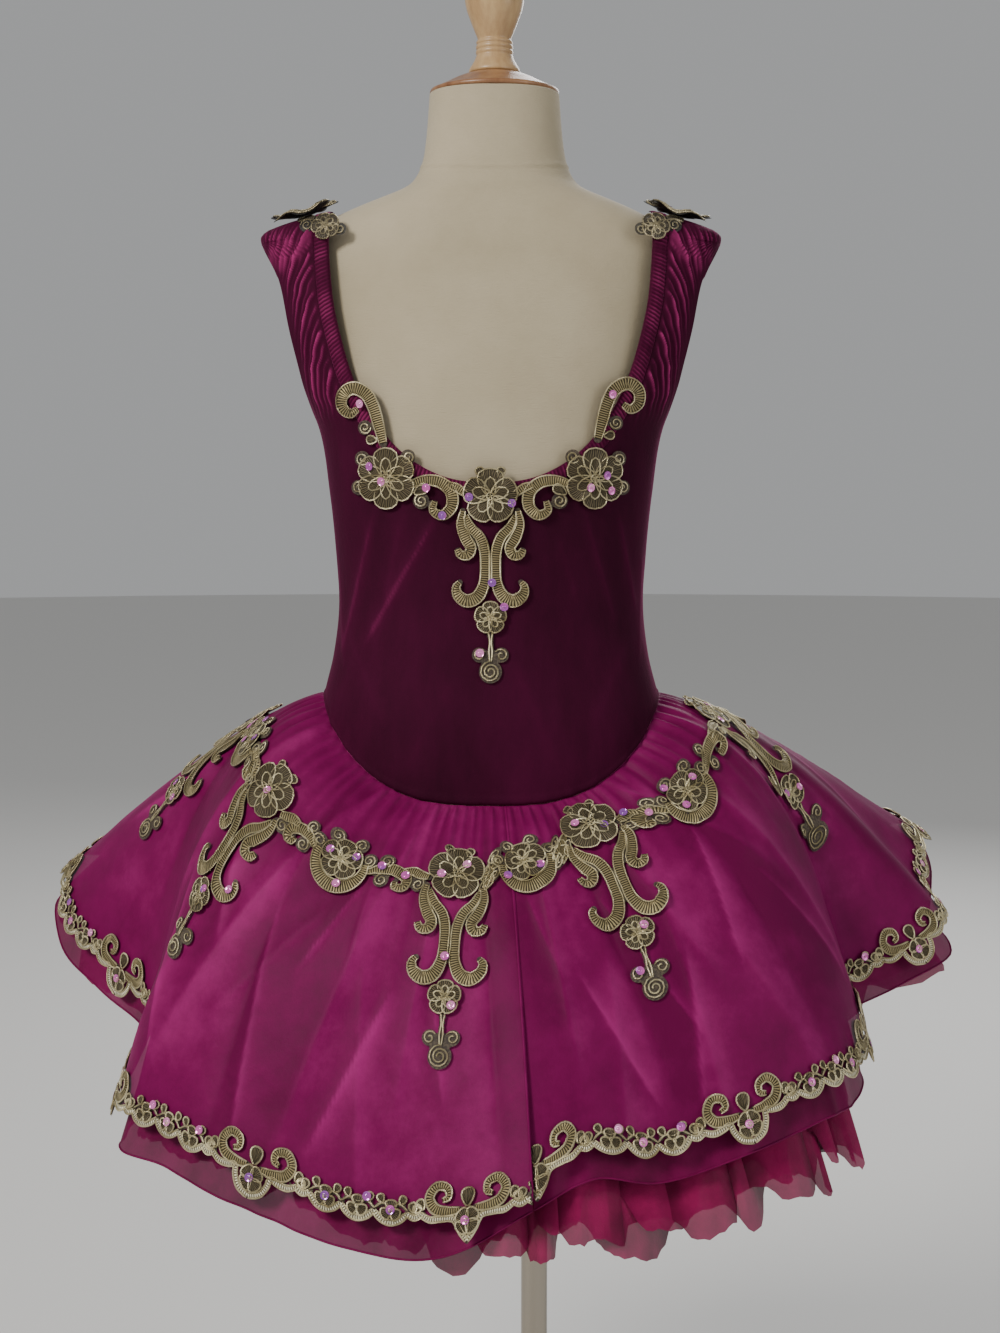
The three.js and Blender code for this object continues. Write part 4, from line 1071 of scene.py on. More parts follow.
def build_overskirt(side, hem, start, end):
    """over_point on a grid, closer by the waist, and a rolled cord down both edges."""
    at = half_columns(start, end, COLUMN_STEP["over"])
    slit, front = (-1, 0) if side == "left" else (0, -1)
    t = np.concatenate([np.linspace(0, 0.12, 14, endpoint=False), np.linspace(0.12, HEM_AT, 72)])[:, None]
    points = over_point(at, t, hem)
    piece = build(f"overskirt_{side}_organza", [sheet(points)], [OVER_ORGANZA], painted_light_and_tones=organza_painted_light_and_tone(at, t))
    place(piece, "organza", f"overskirt_{side}")
    rolls = []
    for name, edge, radius in (("slit_roll", slit, ROLLS["slit"]), ("front_seam", front, ROLLS["front"])):
        normal = skirt_normal(np.full(len(t), at[0, edge]), t[:, 0], hem)
        roll = build(f"{name}_{side}", [cords([(points[:, edge], normal)], radius, 6)], [OVER_ORGANZA])
        rolls.append(place(roll, "organza"))
    return piece, rolls


def under_relief(at, t, seed):
    """Waves and crumple that grow downward."""
    spread = ramp(0.05, 0.5, t)
    waves = 2.2 * spread * wobble(at + 9 * t, seed, 7, 34)
    return waves + 0.8 * spread * skirt_crumple(at, t, seed + 1, 22)


def build_underskirt(side, start, end):
    """The skirt's surface moved in by an inset and out by its relief, with a rolled edge."""
    lap = FRONT_LAP["under"]
    at = half_columns(start - lap * (side == "left"), end + lap * (side == "right"), COLUMN_STEP["under"])
    t = np.linspace(0.04, UNDER_HEM_AT, 56)[:, None]
    inset = lerp(*INSET["under"], t)
    limit = np.minimum(inset - 2.5, 2.6)
    height = np.clip(under_relief(at, t, 41), -limit, limit) - inset
    points = skirt_base(at, t, INNER_HEM) + skirt_normal(at, t, INNER_HEM) * height[..., None]
    painted_light_and_tones = 0.22 * skirt_crumple(at, t, 44, 40, 7) + 0.12 * wobble(at + 12 * t, 45, 6, 30)
    piece = build(f"underskirt_{side}_organza", [sheet(points)], [UNDER_ORGANZA], painted_light_and_tones=painted_light_and_tones)
    place(piece, "organza", f"underskirt_{side}")
    normal = skirt_normal(at, np.full_like(at, UNDER_HEM_AT), INNER_HEM)[0]
    rolled = build(f"underskirt_{side}_roll", [cords([(points[-1], normal)], ROLLS["under"], 5)],
                   [UNDER_ORGANZA])
    return piece, place(rolled, "organza")


TULLE_LAYERS = [(0.0, 1.0, 51, 0.022), (4.5, 0.965, 61, 0.030), (9.0, 1.012, 71, 0.026)]


def build_tulle(side, start, end):
    """Three gathered layers. Their waves grow towards the hem as ramp(0.3, 1.25, t), and their
    cut edges rise and fall with the waves."""
    lap = FRONT_LAP["tulle"]
    start, end = start - lap * (side == "left"), end + lap * (side == "right")
    at = np.linspace(start, end, int((end - start) / COLUMN_STEP["tulle"]) + 1)[None]
    length = smooth(*TULLE_LENGTH, at)
    layers = []
    for layer, (inset_more, shorter, seed, step) in enumerate(TULLE_LAYERS):
        phase = 24 * np.radians(at) + 1.1 * wobble(at, seed, 5, 50) + 1.9 * layer
        ruffle = np.cos(phase) + 0.35 * wobble(at, seed + 1, 6, 13)
        ragged = step * np.tanh(2.2 * np.sin(phase + 0.9)) + 0.006 * wobble(at, seed + 3, 8, 9)
        t = np.linspace(0.07, 1, 35)[:, None] * length * (shorter + ragged)
        inset = lerp(*INSET["tulle"], t) - 8 * ramp(0.3, 1.25, t) * ruffle + inset_more * ramp(0.1, 0.6, t)
        inset = inset + 0.8 * skirt_crumple(at, t, seed + 2, 16) * ramp(0.2, 0.6, t)
        points = skirt_base(at, t, INNER_HEM) - skirt_normal(at, t, INNER_HEM) * inset[..., None]
        # painted light and shade: lighter on one side of each ruffle and darker on the other, with random
        # variation
        painted_light_and_tones = 0.22 * np.sin(phase + 1.3) * ramp(0.2, 0.9, t) + 0.14 * wobble(at + 6 * t, seed + 4, 7, 21)
        piece = build(f"tulle_{side}_layer_{layer + 1}", [sheet(points)], [TULLE], painted_light_and_tones=painted_light_and_tones)
        layers.append(place(piece, "tulle", *([f"tulle_{side}"] if layer == 0 else [])))
    return layers


# ------------------------------------------------------------------ lace, drawn flat

class Drawing:
    """A lace motif laid out flat in millimetres: cords, ribbed cloth between them, and the discs
    that its net ground covers."""

    def __init__(self):
        self.cords, self.cloth, self.discs = [], [], []

    def cord(self, rows, lift, ground=0.0):
        """A cord along rows, smoothed if they are few, with net under it to a ground radius."""
        path = rounded(rows, 1.6) if len(rows) < 8 else np.asarray(rows, float)
        self.cords.append((path, lift))
        if ground:
            self.discs += [(x, y, ground) for x, y in path[::2]]
        return self

    def spiral(self, x, y, radius, turns, start, hand):
        """Winds inward; its radius falls evenly with the angle."""
        s = np.linspace(0, 1, int(11 * turns) + 2)
        angle = np.radians(start) + hand * 2 * np.pi * turns * s
        r = radius * (1 - 0.8 * s)
        self.discs.append((x, y, radius + 0.6))
        return self.cord(np.stack([x + r * np.cos(angle), y + r * np.sin(angle)], -1), 0.6)

    def band(self, rows, lift=0.2, slot=2):
        """A ribbed band, arched across, with a cord on both edges: rows of x, y and width."""
        line = rounded(rows, 1.7)
        along = unit(np.gradient(line[:, :2], axis=0))
        left = np.stack([-along[:, 1], along[:, 0]], -1)
        length = run_of(line[:, :2])
        across = np.array([-1.0, 0.0, 1.0])
        grid = line[:, None, :2] + left[:, None] * (line[:, 2:] / 2 * across)[..., None]
        lifts = lift + np.broadcast_to([0.0, 0.55, 0.0], grid.shape[:2])
        self.cloth.append((grid, lifts, joined(length[:, None], across), slot))
        self.cord(grid[:, 0], lift + 0.5)
        self.cord(grid[:, 2], lift + 0.5)
        self.discs += [(x, y, width / 2 + 0.5) for x, y, width in line[::2]]
        return self

    def petal(self, x, y, length, width, angle, lift=0.2):
        """Ribs that run outward from a point, with a cord round them: in a petal of half-angle a,
        length (1 - cos a) / 2 along and width sin a / 2 across, a little fuller at its tip."""
        a = np.linspace(2 * np.pi - 0.3, 0.3, 15)
        along = length * (1 - np.cos(a)) / 2
        across = width / 2 * np.sin(a) * (0.6 + 0.42 * (1 - np.cos(a)))
        turn = np.radians(angle)
        way, side = np.array([np.cos(turn), np.sin(turn)]), np.array([-np.sin(turn), np.cos(turn)])
        edge = along[:, None] * way + across[:, None] * side
        share = np.array([0.15, 0.6, 1.0])[:, None]
        lifts = lift + np.broadcast_to([[0.3], [0.7], [0.1]], (3, len(a)))
        self.cloth.append((edge * share[..., None] + [x, y], lifts, joined(run_of(edge), share), 3))
        self.cord(np.concatenate([[[x, y]], edge + [x, y], [[x, y]]]), lift + 0.55)
        self.discs += [(*(np.array([x, y]) + way * length * at), width * size + 0.4)
                       for at, size in ((0.25, 0.24), (0.58, 0.41))]
        return self

    def flower(self, x, y, radius, petals, turn, lift):
        """Petals that overlap round an eye, every second one higher, and a loop in each."""
        width = 1.5 * radius * np.sin(np.pi / petals) * (1.0 if petals > 3 else 0.8)
        for k in range(petals):
            angle = turn + 360 * k / petals
            higher = lift + 0.35 * (k % 2) + 0.35 * (k == petals - 1 and petals % 2)
            self.petal(x, y, radius, width, angle, higher)
            if radius > 9:
                a = np.linspace(0.4, 2 * np.pi - 0.4, 9)
                near, aside = 0.34 * radius * (1 - np.cos(a)), 0.24 * width * np.sin(a)
                way = np.radians(angle)
                self.cord(np.stack([x + near * np.cos(way) - aside * np.sin(way),
                                    y + near * np.sin(way) + aside * np.cos(way)], -1), higher + 0.8)
        ring = np.linspace(0, 2 * np.pi, 9)
        return self.cord(np.stack([x + 0.14 * radius * np.cos(ring), y + 0.14 * radius * np.sin(ring)], -1),
                         lift + 1.3)

    def add(self, other, x=0.0, y=0.0, turn=0.0, mirrored=False):
        """Puts in another drawing, mirrored left to right first, then turned and moved."""
        c, s = np.cos(np.radians(turn)), np.sin(np.radians(turn))
        matrix = np.array([[c, s], [-s, c]])
        if mirrored:
            matrix[0] *= -1
        step = -1 if mirrored else 1
        self.cords += [(path @ matrix + [x, y], lift) for path, lift in other.cords]
        self.cloth += [(grid[:, ::step] @ matrix + [x, y], lifts[:, ::step], uv[:, ::step], slot)
                       for grid, lifts, uv, slot in other.cloth]
        self.discs += [(*(np.array([dx, dy]) @ matrix + [x, y]), r) for dx, dy, r in other.discs]
        return self

    def doubled(self):
        """With its own mirror image."""
        return Drawing().add(self).add(self, mirrored=True)


def pendant_drawing():
    """Flower, two bands that make the stem and end in cups, two curls, a small flower, a tip."""
    half = Drawing()
    half.band([(16.5, -8, 3), (12.5, -16, 5), (6.8, -22.5, 6), (4, -31, 6), (3.6, -43, 5.6),
               (4.3, -53, 6.4), (8.6, -61.5, 7.6), (15.5, -64.2, 8), (21.3, -60.4, 6.6),
               (22.4, -55, 4.6), (20.2, -52, 3)])
    half.band([(18, -5, 3), (19.4, -14, 5), (16, -23.5, 6.6), (12.8, -29, 6.4), (14.8, -34, 6),
               (19.6, -33.8, 5), (21.6, -30, 3.4)], 0.6)
    half.spiral(7.2, -99.5, 4.3, 1.3, 150, -1)
    half.cord([(1.5, -84), (0.5, -91), (1.1, -97), (0.5, -104)], 0.6, 1.4)
    whole = half.doubled()
    whole.flower(0, 4.5, 18, 5, 90, 0.8)
    whole.petal(-6, 17, 6.5, 5, 105).petal(6, 17, 6.5, 5, 75)
    whole.flower(0, -75, 10.6, 5, 90, 0.6)
    return whole.spiral(0, -110.3, 7.0, 2.3, 90, 1)


def rosette_drawing():
    """A small flower in a ribbed crescent, with curls at its ends and above."""
    made = Drawing()
    angles = np.radians(np.arange(168, 373, 17))
    widths = 4 + 4.5 * np.sin(np.linspace(0, np.pi, len(angles)))
    made.band(np.stack([16 * np.cos(angles), 16 * np.sin(angles), widths], -1))
    made.spiral(-17, 6.5, 4.6, 1.6, -70, -1).spiral(17, 6.5, 4.6, 1.6, 250, 1)
    made.spiral(-8, 15.5, 4.4, 1.5, -90, 1).spiral(8, 15.5, 4.4, 1.5, -90, -1)
    return made.flower(0, 2, 13.5, 5, 90, 0.8)


def blossom_drawing():
    """A full flower of six petals, with curls between some of them."""
    made = Drawing()
    made.spiral(16, 13, 4.6, 1.5, 200, 1).spiral(19, -6, 4.4, 1.5, 160, -1)
    made.spiral(-15, 14, 4.4, 1.5, -20, -1)
    return made.flower(0, 0, 20, 6, 30, 0.5)


def scroll_drawing(length):
    """From one station to the next: a band that curls under, a second from it, and thin curls."""
    h = length / 2
    made = Drawing()
    made.band([(-h, 0, 3), (-0.55 * h, 3.4, 6), (-0.08 * h, 3.4, 7), (0.26 * h, -0.6, 6.6),
               (0.24 * h, -6.4, 5.4), (-0.06 * h, -6.8, 4), (-0.08 * h, -3.6, 2.6)])
    made.band([(0.05 * h, 4.4, 3), (0.45 * h, 4.4, 5.4), (0.75 * h, 1.6, 5), (h, 0, 3.2)], 0.5)
    made.spiral(-0.5 * h, 9.4, 4.4, 1.5, -90, 1).spiral(-0.5 * h, -3.8, 4.2, 1.5, 90, 1)
    return made.spiral(0.68 * h, -4.2, 4.4, 1.6, 90, -1)


def comma_drawing():
    """A band that climbs the neckline and curls over outward."""
    made = Drawing()
    made.band([(-17, -20, 5), (-15, -8, 7), (-12.4, 4, 7.6), (-8, 13, 8), (0.5, 17.4, 8), (8, 13.4, 7.8),
               (9, 5.4, 7), (3.6, 0.8, 5.4), (-1.6, 3.4, 3.4)])
    return made.spiral(-5.5, -9, 4.2, 1.5, 180, 1).petal(-13, -18, 7, 5, 10)


def neck_scroll_drawing():
    """From a rosette towards the middle: a band that curls under, with a leaf and thin curls."""
    made = Drawing()
    made.band([(19, 7, 3.4), (8, 10.6, 6), (-3, 9.6, 7), (-10.4, 3, 7.4), (-10.6, -6.4, 7), (-4.4, -12, 6),
               (1.8, -8.8, 4.6), (0.4, -2.6, 3)])
    made.band([(-8, 8, 3), (-14, 6, 5), (-21, 1, 3.4)], 0.6)
    return made.spiral(9.5, -2.6, 4.8, 1.6, 90, -1).petal(14, 2, 10, 6, 150)


def trim_drop(pointed):
    """A drop with a flower, between two large curls; its lower edge is pointed or round."""
    half = Drawing()
    edge = [(0, -14.6, 2.4), (4.4, -8.6, 3), (9, -1.4, 3)] if pointed else \
        [(0, -13.4, 3), (7.4, -10.4, 3), (11.2, -4.4, 3), (12.6, 0.6, 3)]
    half.band([*edge, (18, -0.6, 3.2), (24, -0.8, 3.2), (30.5, 2.4, 2.6)], slot=4)
    half.band([(5, 3.6, 3), (13, 3.4, 5), (21.5, 5.6, 6), (25, 12.4, 5.4), (20.4, 18.6, 5), (13.6, 17, 4.4),
               (12.6, 11.6, 3.4), (16.6, 10, 2.4)], 0.5)
    half.petal(28.6, 5, 6.6, 4.6, 62).petal(30, 4.4, 5.4, 4, 20)
    whole = half.doubled()
    return whole.petal(0, 5, 11, 8, 90).flower(0, -3.2, 8, 4, 45, 0.6)


def trim_scallop():
    """A scallop with a flower of three petals and two loops above."""
    made = Drawing()
    made.band([(-10.6, 2.4, 2.6), (-6, -1.6, 3.2), (0, -3.4, 3.4), (6, -1.6, 3.2),
               (10.6, 2.4, 2.6)], slot=4)
    made.cord([(-10.6, 4), (-5.4, 7.6), (0, 6.2), (5.4, 7.6), (10.6, 4)], 0.7, 1.6)
    made.petal(-5.6, 7.4, 5.6, 4.2, 115).petal(5.6, 7.4, 5.6, 4.2, 65)
    return made.flower(0, 3.4, 6.4, 3, 90, 0.6)


def trim_link():
    """A short piece of the scalloped edge, with a pair of loops."""
    made = Drawing()
    made.band([(-5, 2.4, 2.6), (0, 0.2, 3), (5, 2.4, 2.6)], slot=4)
    return made.petal(0, 3, 6.4, 4.6, 70).petal(0, 3, 5.6, 4, 125)


def shoulder_drawing():
    """A flower in a ring of seven curls, with a band below it."""
    made = Drawing()
    for k in range(7):
        angle = 360 / 7 * k + 10
        made.spiral(18 * np.cos(np.radians(angle)), 18 * np.sin(np.radians(angle)), 5.0, 1.7, angle + 180,
                    1 if k % 2 else -1)
    made.band([(-16, -12, 4), (-4, -17, 6), (8, -16, 6), (17, -9, 4)], 0.3)
    return made.flower(0, 0, 17.5, 5, 18, 0.5)


# ------------------------------------------------------------------ lace on a surface

def net_ground(discs, low, high):
    """Flat net over the discs, between two limits of x: square cells, whose edge points are
    moved on to the outline along the slope of the distance to the nearest disc."""
    xs = np.arange(low, high + 0.5 * NET_PITCH, NET_PITCH)
    tops, feet = [y + r for _, y, r in discs], [y - r for _, y, r in discs]
    ys = np.arange(max(tops) + NET_PITCH, min(feet) - NET_PITCH, -NET_PITCH)
    x, y = np.meshgrid(xs, ys)

    def outside(px, py):
        """Least distance to a disc, less its radius, within reach of the disc."""
        field = np.full(px.shape, 1e3)
        for cx, cy, r in discs:
            first, last = np.searchsorted(xs, [cx - r - 6, cx + r + 6])
            near = (slice(None), slice(first, last))
            field[near] = np.minimum(field[near], np.hypot(px[near] - cx, py[near] - cy) - r)
        return field

    field = outside(x, y)
    keep = field[:-1, :-1] + field[1:, :-1] + field[:-1, 1:] + field[1:, 1:] < 0
    uses = np.zeros(x.shape, int)
    for rows in (slice(None, -1), slice(1, None)):
        for columns in (slice(None, -1), slice(1, None)):
            uses[rows, columns] += keep
    edge = (uses > 0) & (uses < 4)
    for _ in range(2):
        field = outside(x, y)
        gx, gy = (outside(x + 0.05, y) - field) / 0.05, (outside(x, y + 0.05) - field) / 0.05
        move = np.where(edge, np.clip(field, -NET_PITCH, NET_PITCH) / np.maximum(gx ** 2 + gy ** 2, 0.2), 0)
        x, y = np.clip(x - move * gx, low, high), y - move * gy
    faces = grid_faces(*x.shape, keep)
    used = np.unique(faces)
    renumber = np.full(x.size, -1)
    renumber[used] = np.arange(len(used))
    return np.stack([x.ravel()[used], y.ravel()[used]], -1), renumber[faces]


def lace_parts(drawing, surface, base, cord_radius=LACE_CORD, limits=None):
    """The drawing's net, cords and ribbed cloth put on a surface: surface(x, y, lift) gives
    points and normals."""
    reach = [(x - r, x + r) for x, _, r in drawing.discs]
    low, high = limits or (min(a for a, _ in reach) - 2, max(b for _, b in reach) + 2)
    flat, faces = net_ground(drawing.discs, low, high)
    net = (surface(flat[:, 0], flat[:, 1], base)[0], [faces], flat / 1000, 0)
    paths = []
    for path, lift in drawing.cords:
        inside = (path[:, 0] > low) & (path[:, 0] < high)
        runs = np.split(np.arange(len(path)), np.flatnonzero(np.diff(inside)) + 1)
        paths += [(path[run], lift) for run in runs if inside[run[0]] and len(run) > 2]
    flat = np.concatenate([path for path, _ in paths])
    lifts = np.concatenate([np.full(len(path), lift) for path, lift in paths])
    points, normals = surface(flat[:, 0], flat[:, 1], base + lifts)
    ends = np.cumsum([len(path) for path, _ in paths])[:-1]
    lines = cords(list(zip(np.split(points, ends), np.split(normals, ends))), cord_radius, 4, 1)
    made = [net, lines]
    for slot in (2, 3, 4):
        grids = [piece for piece in drawing.cloth if piece[3] == slot
                 and piece[0][..., 0].max() > low and piece[0][..., 0].min() < high]
        if not grids:
            continue
        flat = np.concatenate([grid.reshape(-1, 2) for grid, *_ in grids])
        lifts = np.concatenate([lift.ravel() for _, lift, *_ in grids])
        uv = np.concatenate([uv.reshape(-1, 2) for *_, uv, _ in grids]) / 1000
        starts = np.cumsum([0] + [lift.size for _, lift, *_ in grids])
        faces = np.concatenate([grid_faces(*lift.shape) + start
                                for (_, lift, *_), start in zip(grids, starts)])
        inside = (flat[:, 0] > low) & (flat[:, 0] < high)
        faces = faces[inside[faces].all(axis=1)]
        used, faces = np.unique(faces, return_inverse=True)
        points = surface(flat[used, 0], flat[used, 1], base + lifts[used])[0]
        made.append((points, [faces.reshape(-1, 4)], uv[used], slot))
    return made


def on_skirt(at, down):
    """The overskirt's surface about a station: x along the hem and y up from the garland's line."""
    hem = hem_for(at)

    def surface(x, y, lift):
        middle = skirt_base(at, slope_to(at, down - y, hem), hem)
        degrees = at + np.degrees(x / np.hypot(middle[..., 0], middle[..., 1]))
        t = slope_to(degrees, down - y, hem)
        return over_point(degrees, t, hem, lift), skirt_normal(degrees, t, hem)
    return surface


def along_skirt(start, end, down_from, down_to, length):
    """The overskirt's surface between two stations: x runs from -length/2 to length/2."""
    turn_back = (start + end) / 2 > 180
    hem = hem_for((start + end) / 2)

    def surface(x, y, lift):
        share = x / length + 0.5
        degrees = lerp(start, end, share) - 360 * turn_back
        t = slope_to(degrees, lerp(down_from, down_to, share) - y, hem)
        return over_point(degrees, t, hem, lift), skirt_normal(degrees, t, hem)
    return surface


def on_back(x, y, lift):
    """The bodice's back surface behind a point: x and y measured straight across and up."""
    def at(a, b):
        return cloth_point(angle_at(a, b, lift), b, lift)
    return at(x, y), unit(np.cross(at(x + 1, y) - at(x - 1, y), at(x, y + 1) - at(x, y - 1)))


def on_hem(hem, start, end):
    """The overskirt's surface by its hem: x is the length along the hem, y the distance up."""
    at = np.linspace(start + 0.1, end - 0.1, 900)
    edge = skirt_base(at, HEM_AT, hem)
    along = run_of(edge)
    pace = np.linalg.norm(skirt_base(at, HEM_AT, hem) - skirt_base(at, HEM_AT - 0.02, hem), axis=1) / 0.02

    def surface(x, y, lift):
        degrees = np.interp(x, along, at)
        t = HEM_AT - y / np.interp(x, along, pace)
        normal = skirt_normal(degrees, t, hem, turn=2.2)
        height = organza_relief(degrees, t) + lift
        return skirt_base(degrees, t, hem) + normal * height[..., None], normal
    return surface, along[-1]


def on_shoulder(side):
    """The top of the shoulder: for x and y from above, the height at which the section passes;
    towards its edge the lace stands up in a frill."""
    def surface(x, y, lift):
        px, py = side * SHOULDER_LACE["x"] + x, y + SHOULDER_LACE["y"]
        low, high = (np.full(np.shape(px), SHOULDER_SEARCH[end]) for end in ("low", "high"))
        for _ in range(SHOULDER_SEARCH["halvings"]):
            z = (low + high) / 2
            half, deep = velvet_reach(z)
            inside = (np.abs(px) / half) ** SQUARENESS + (np.abs(py - lean_at(z)) / deep) ** SQUARENESS < 1
            low, high = np.where(inside, z, low), np.where(inside, high, z)
        away = np.hypot(x / SHOULDER_LACE["half_width"], y / SHOULDER_LACE["half_depth"])
        frill = SHOULDER_LACE["frill"] * ramp(0.3, 1.0, away)
        frill = frill * (0.75 + 0.3 * np.sin(5 * np.arctan2(y, x) + side))
        out = unit(joined(0.3 * side, -0.3, np.ones_like(px)))
        up = joined(0, 0, np.ones_like(px))
        return np.stack([px, py, low], -1) + out * (lift - VELVET + frill)[..., None], up
    return surface


SEQUIN_SIDES = 12
SEQUIN_RINGS = [(0.02, 0.75), (0.5, 0.6), (0.62, 0.15), (1.7, 0.05), (2.8, 0.5)]
sequins = []


def add_sequins(surface, base, spots):
    """Keeps the point and the normal of each spot, for the one mesh of sequins."""
    x, y = np.array(spots, float).T
    points, normals = surface(x, y, base + SEQUIN_LIFT + 0 * x)
    sequins.extend(zip(points, normals))


def sequin_parts(places):
    """Small dished rings with a bead in the hole, at (point, normal)."""
    points, normals = (np.array(column) for column in zip(*places))
    angle = circle(SEQUIN_SIDES)
    side = unit(np.cross(normals, [0.3, 0.2, 1.0]))
    up = np.cross(normals, side)
    grid = np.stack([points[:, None] + normals[:, None] * high
                     + radius * (side[:, None] * np.cos(angle)[:, None]
                                 + up[:, None] * np.sin(angle)[:, None])
                     for radius, high in SEQUIN_RINGS], 1)
    faces = grid_faces(len(SEQUIN_RINGS), SEQUIN_SIDES, None, True)
    each = len(SEQUIN_RINGS) * SEQUIN_SIDES
    starts = (np.arange(len(places)) * each)[:, None, None]
    return grid.reshape(-1, 3), [(faces[None] + starts).reshape(-1, 4)], \
        np.zeros((len(places) * each, 2)), 0


PENDANT_SEQUINS = [
    [(-8, 8), (7, 0), (5, -72), (-6, -98)], [(9, 6), (-7, -4), (-5, -72), (6, -78)],
    [(0, 3), (20, -58), (3, -70)], [(-10, 2), (6, 11), (-2, -50), (5, -80)],
]
ROSETTE_SEQUINS = [[(-9, 4), (8, 7), (4, -14)], [(9, -3), (-13, -8)], [(-7, -4), (8, 5), (-8, 15)]]
GOLD_LACE = [GOLD_NET, GOLD_CORD, GOLD_WEAVE, GOLD_PETAL]


def build_garland():
    """Gives the motifs that lie on the left and on the right half of the overskirt."""
    left, right = [], []
    kinds = (("pendant", PENDANTS, pendant_drawing(), [0] * len(PENDANTS), PENDANT_SEQUINS),
             ("rosette", ROSETTES, rosette_drawing(), ROSETTE_TURNS, ROSETTE_SEQUINS))
    for kind, places, drawing, turns, spots in kinds:
        for i, ((at, down), turn) in enumerate(zip(places, turns)):
            surface = on_skirt(at, down)
            parts = lace_parts(Drawing().add(drawing, turn=turn), surface, LACE_BASE)
            piece = build(f"{kind}_lace_{i + 1}", parts, GOLD_LACE)
            (left if at < SLIT_ANGLE else right).append(place(piece, "gold_lace", f"{kind}_{i + 1}"))
            add_sequins(surface, LACE_BASE, spots[i % len(spots)])
    stations = sorted([(at, down, PENDANT_HALF) for at, down in PENDANTS]
                      + [(at, down, ROSETTE_RADIUS) for at, down in ROSETTES])

    def clear(at, down, half):
        """Degrees that a motif takes at its station, and the radius there."""
        hem = hem_for(at)
        point = skirt_base(at, slope_to(at, down, hem), hem)
        radius = float(np.hypot(point[..., 0], point[..., 1]))
        return float(np.degrees((half + SCROLL_CLEAR) / radius)), radius

    for i, (at, down, half) in enumerate(stations):
        to_at, to_down, to_half = stations[(i + 1) % len(stations)]
        to_at += 360 if i == len(stations) - 1 else 0
        first, radius = clear(at, down, half)
        second, _ = clear(to_at - (360 if to_at > 180 else 0), to_down, to_half)
        start, end = at + first * SCROLL_REACH, to_at - second * SCROLL_REACH
        length = float(np.radians(end - start) * radius)
        surface = along_skirt(start, end, down, to_down, length)
        drawing = scroll_drawing(length)
        if half == PENDANT_HALF:
            drawing = Drawing().add(drawing, mirrored=True)
        piece = build(f"scroll_lace_{i + 1}", lace_parts(drawing, surface, LACE_BASE), GOLD_LACE)
        place(piece, "gold_lace", f"scroll_{i + 1}")
        (left if hem_for((start + end) / 2) is LEFT_HEM else right).append(piece)
        if i % 3 == 0:
            add_sequins(surface, LACE_BASE, [(0.1 * length, 1), (-0.3 * length, 5)])
    return left, right


NECK_SEQUINS = [
    (-72, 894), (-80, 904), (-42, 890), (-31.5, 872), (-14, 884), (14, 880), (1, 828), (-7, 782),
    (77, 898), (66, 890), (80, 888), (80, 951), (-86, 945), (9, 812),
]


def build_neck_lace():
    """A pendant in the middle, and on each side a scroll, a comma and a blossom."""
    whole = Drawing().add(pendant_drawing(), 0, 880)
    beside = [(neck_scroll_drawing(), 36, (884, 884), 0), (comma_drawing(), 89, (938, 941), -4),
              (blossom_drawing(), 69, (896, 896), 0)]
    for side in (-1, 1):
        for drawing, x, heights, turn in beside:
            whole.add(drawing, side * x, heights[side > 0], turn * side, mirrored=side < 0)
    parts = lace_parts(whole, on_back, BODICE_LACE_BASE)
    piece = place(build("neck_lace_motif", parts, GOLD_LACE), "gold_lace", "neck_lace")
    add_sequins(on_back, BODICE_LACE_BASE, NECK_SEQUINS)
    return piece


def shoulder_flap_drawing():
    """The part of the shoulder motif that hangs over on to the back of the strap."""
    made = Drawing().spiral(13, 1, 4.6, 1.7, 0, 1).spiral(-10, -3, 3.8, 1.5, 90, -1)
    made.band([(8, 6, 3), (14, 7.4, 4), (20, 5, 3)], 0.4)
    return made.flower(0, 0, 9.6, 5, 70, 0.5)


def build_shoulder_lace():
    """On each shoulder a motif on top, and a small flower that hangs on to the back."""
    made = []
    for name, side in (("left", -1), ("right", 1)):
        surface = on_shoulder(side)
        parts = lace_parts(shoulder_drawing(), surface, BODICE_LACE_BASE)
        flap = Drawing().add(shoulder_flap_drawing(), side * SHOULDER_FLAP["x"], SHOULDER_FLAP["z"],
                             mirrored=side < 0)
        parts += lace_parts(flap, on_back, BODICE_LACE_BASE)
        piece = build(f"shoulder_lace_{name}_motif", parts, [DARK_NET, DARK_CORD, DARK_WEAVE, DARK_WEAVE])
        made.append(place(piece, "black_lace", f"shoulder_lace_{name}"))
        add_sequins(surface, BODICE_LACE_BASE, [(4, -6), (-7, -9)])
    return made


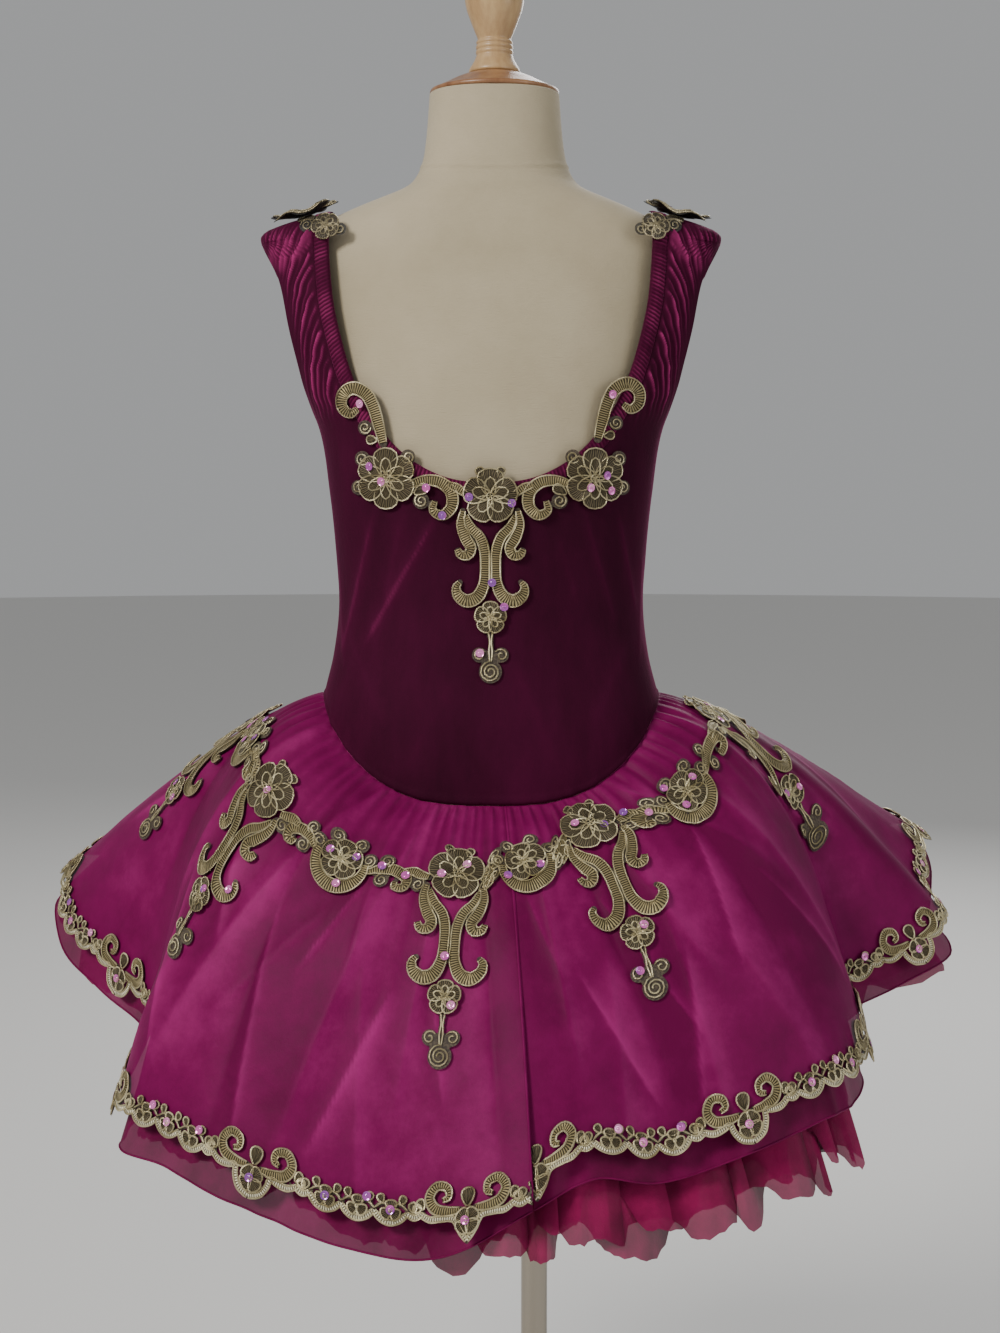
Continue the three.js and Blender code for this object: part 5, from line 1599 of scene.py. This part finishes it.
def build_trim(side, hem, start, end):
    """The same repeat of a drop, a link, three scallops and a link; drops are pointed in turn."""
    surface, length = on_hem(hem, start, end)
    first = TRIM["from_slit"] if side == "right" else (length - TRIM["to_slit"]) % TRIM["repeat"]
    scallop, joint = trim_scallop(), trim_link()
    whole, spots = Drawing(), []
    for k in range(-1, int(length / TRIM["repeat"]) + 2):
        x = first + k * TRIM["repeat"]
        pointed = (round((length - x) / TRIM["repeat"]) + (side == "right")) % 2 == 0
        whole.add(trim_drop(pointed), x).add(joint, x + 34).add(joint, x - 34, mirrored=True)
        for step, aside in enumerate((49, 70, 91)):
            whole.add(scallop, x + aside)
            spots += [(x + aside, 4)] if (step + k) % 2 else [(x + aside + 5.6, 10)]
        spots += [(x - 1, -3)]
    whole.discs = [disc for disc in whole.discs if -12 < disc[0] < length + 12]
    piece = build(f"hem_lace_{side}", lace_parts(whole, surface, TRIM_BASE, TRIM_CORD, (0.0, length)),
                  [*GOLD_LACE, GOLD_EDGE])
    place(piece, "gold_lace", f"hem_trim_{side}")
    add_sequins(surface, TRIM_BASE, [spot for spot in spots if 4 < spot[0] < length - 4])
    return piece


# ------------------------------------------------------------------ the whole

cover = build_form()
build_stand()
bodice_back = place(build_panel("bodice_back_velvet", BACK_SCOOP, -1, 80), "velvet", "bodice_back")
bodice_front = place(build_panel("bodice_front_velvet", FRONT_SCOOP, 1, 46), "velvet", "bodice_front")
band_back = place(build_band("neck_elastic_back", BACK_SCOOP, -1), "elastic_band", "neck_band_back")
band_front = place(build_band("neck_elastic_front", FRONT_SCOOP, 1), "elastic_band", "neck_band_front")
thread_back = build_seam_thread("neck_seam_back", BACK_SCOOP, -1)
thread_front = build_seam_thread("neck_seam_front", FRONT_SCOOP, 1)
build_neck_lace()
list(build_shoulder_lace())
for half, motifs in zip(HALVES, build_garland()):
    side, _, *span = half
    over, rolls = build_overskirt(*half)
    under, under_roll = build_underskirt(side, *span)
    layers = build_tulle(side, *span)
    build_trim(*half)
place(build("sequins", [sequin_parts(sequins)], [SEQUIN]), "sequin")


# ------------------------------------------------------------------ floor, light and camera

FLOOR = {"z": -0.5, "radius": 14000.0}


def build_floor():
    """A wide level disc, just below the base."""
    disc = turned([(0.001, FLOOR["z"]), (FLOOR["radius"], FLOOR["z"])], (0, 0), 64)
    floor = build("studio_floor", [disc], [fresh("pale_floor", (0.72, 0.71, 0.69), 0.85)])


LIGHTS_FACE = (0, 0, 0.8)


def area_light(name, at, size, power, colour):
    """A round soft light that faces the skirt."""
    data = bpy.data.lights.new(name, "AREA")
    data.shape = "DISK"
    data.size = size
    data.energy = power
    data.color = colour
    lamp = bpy.data.objects.new(name, data)
    lamp.location = at
    way = np.array(LIGHTS_FACE) - np.array(at)
    tilt = np.arccos(-way[2] / np.linalg.norm(way))
    lamp.rotation_euler = (tilt, 0, np.arctan2(way[1], way[0]) - np.pi / 2)
    bpy.context.scene.collection.objects.link(lamp)


build_floor()
world = bpy.data.worlds.new("studio")
world.use_nodes = True
world.node_tree.nodes["Background"].inputs["Color"].default_value = (0.86, 0.87, 0.88, 1)
world.node_tree.nodes["Background"].inputs["Strength"].default_value = 0.42
bpy.context.scene.world = world
area_light("key", (-1.8, -1.9, 2.5), 0.9, 78, (1, 0.98, 0.95))
area_light("fill", (2.2, -1.6, 1.5), 1.8, 20, (0.96, 0.98, 1))
area_light("back", (0.8, 2.6, 2.2), 1.8, 45, (1, 1, 1))

CAMERA = {"at": (0.0063, -1.35, 0.8945), "pitch": 5.5, "focal_px": 1929.0, "frame_px": 1333.0,
          "sensor": 36.0}
camera_data = bpy.data.cameras.new("camera")
camera_data.sensor_width = CAMERA["sensor"]
camera_data.sensor_fit = "AUTO"
camera_data.lens = CAMERA["focal_px"] / CAMERA["frame_px"] * CAMERA["sensor"]
camera = bpy.data.objects.new("camera", camera_data)
camera.location = CAMERA["at"]
camera.rotation_euler = (np.radians(90 - CAMERA["pitch"]), 0, 0)
bpy.context.scene.collection.objects.link(camera)
bpy.context.scene.camera = camera
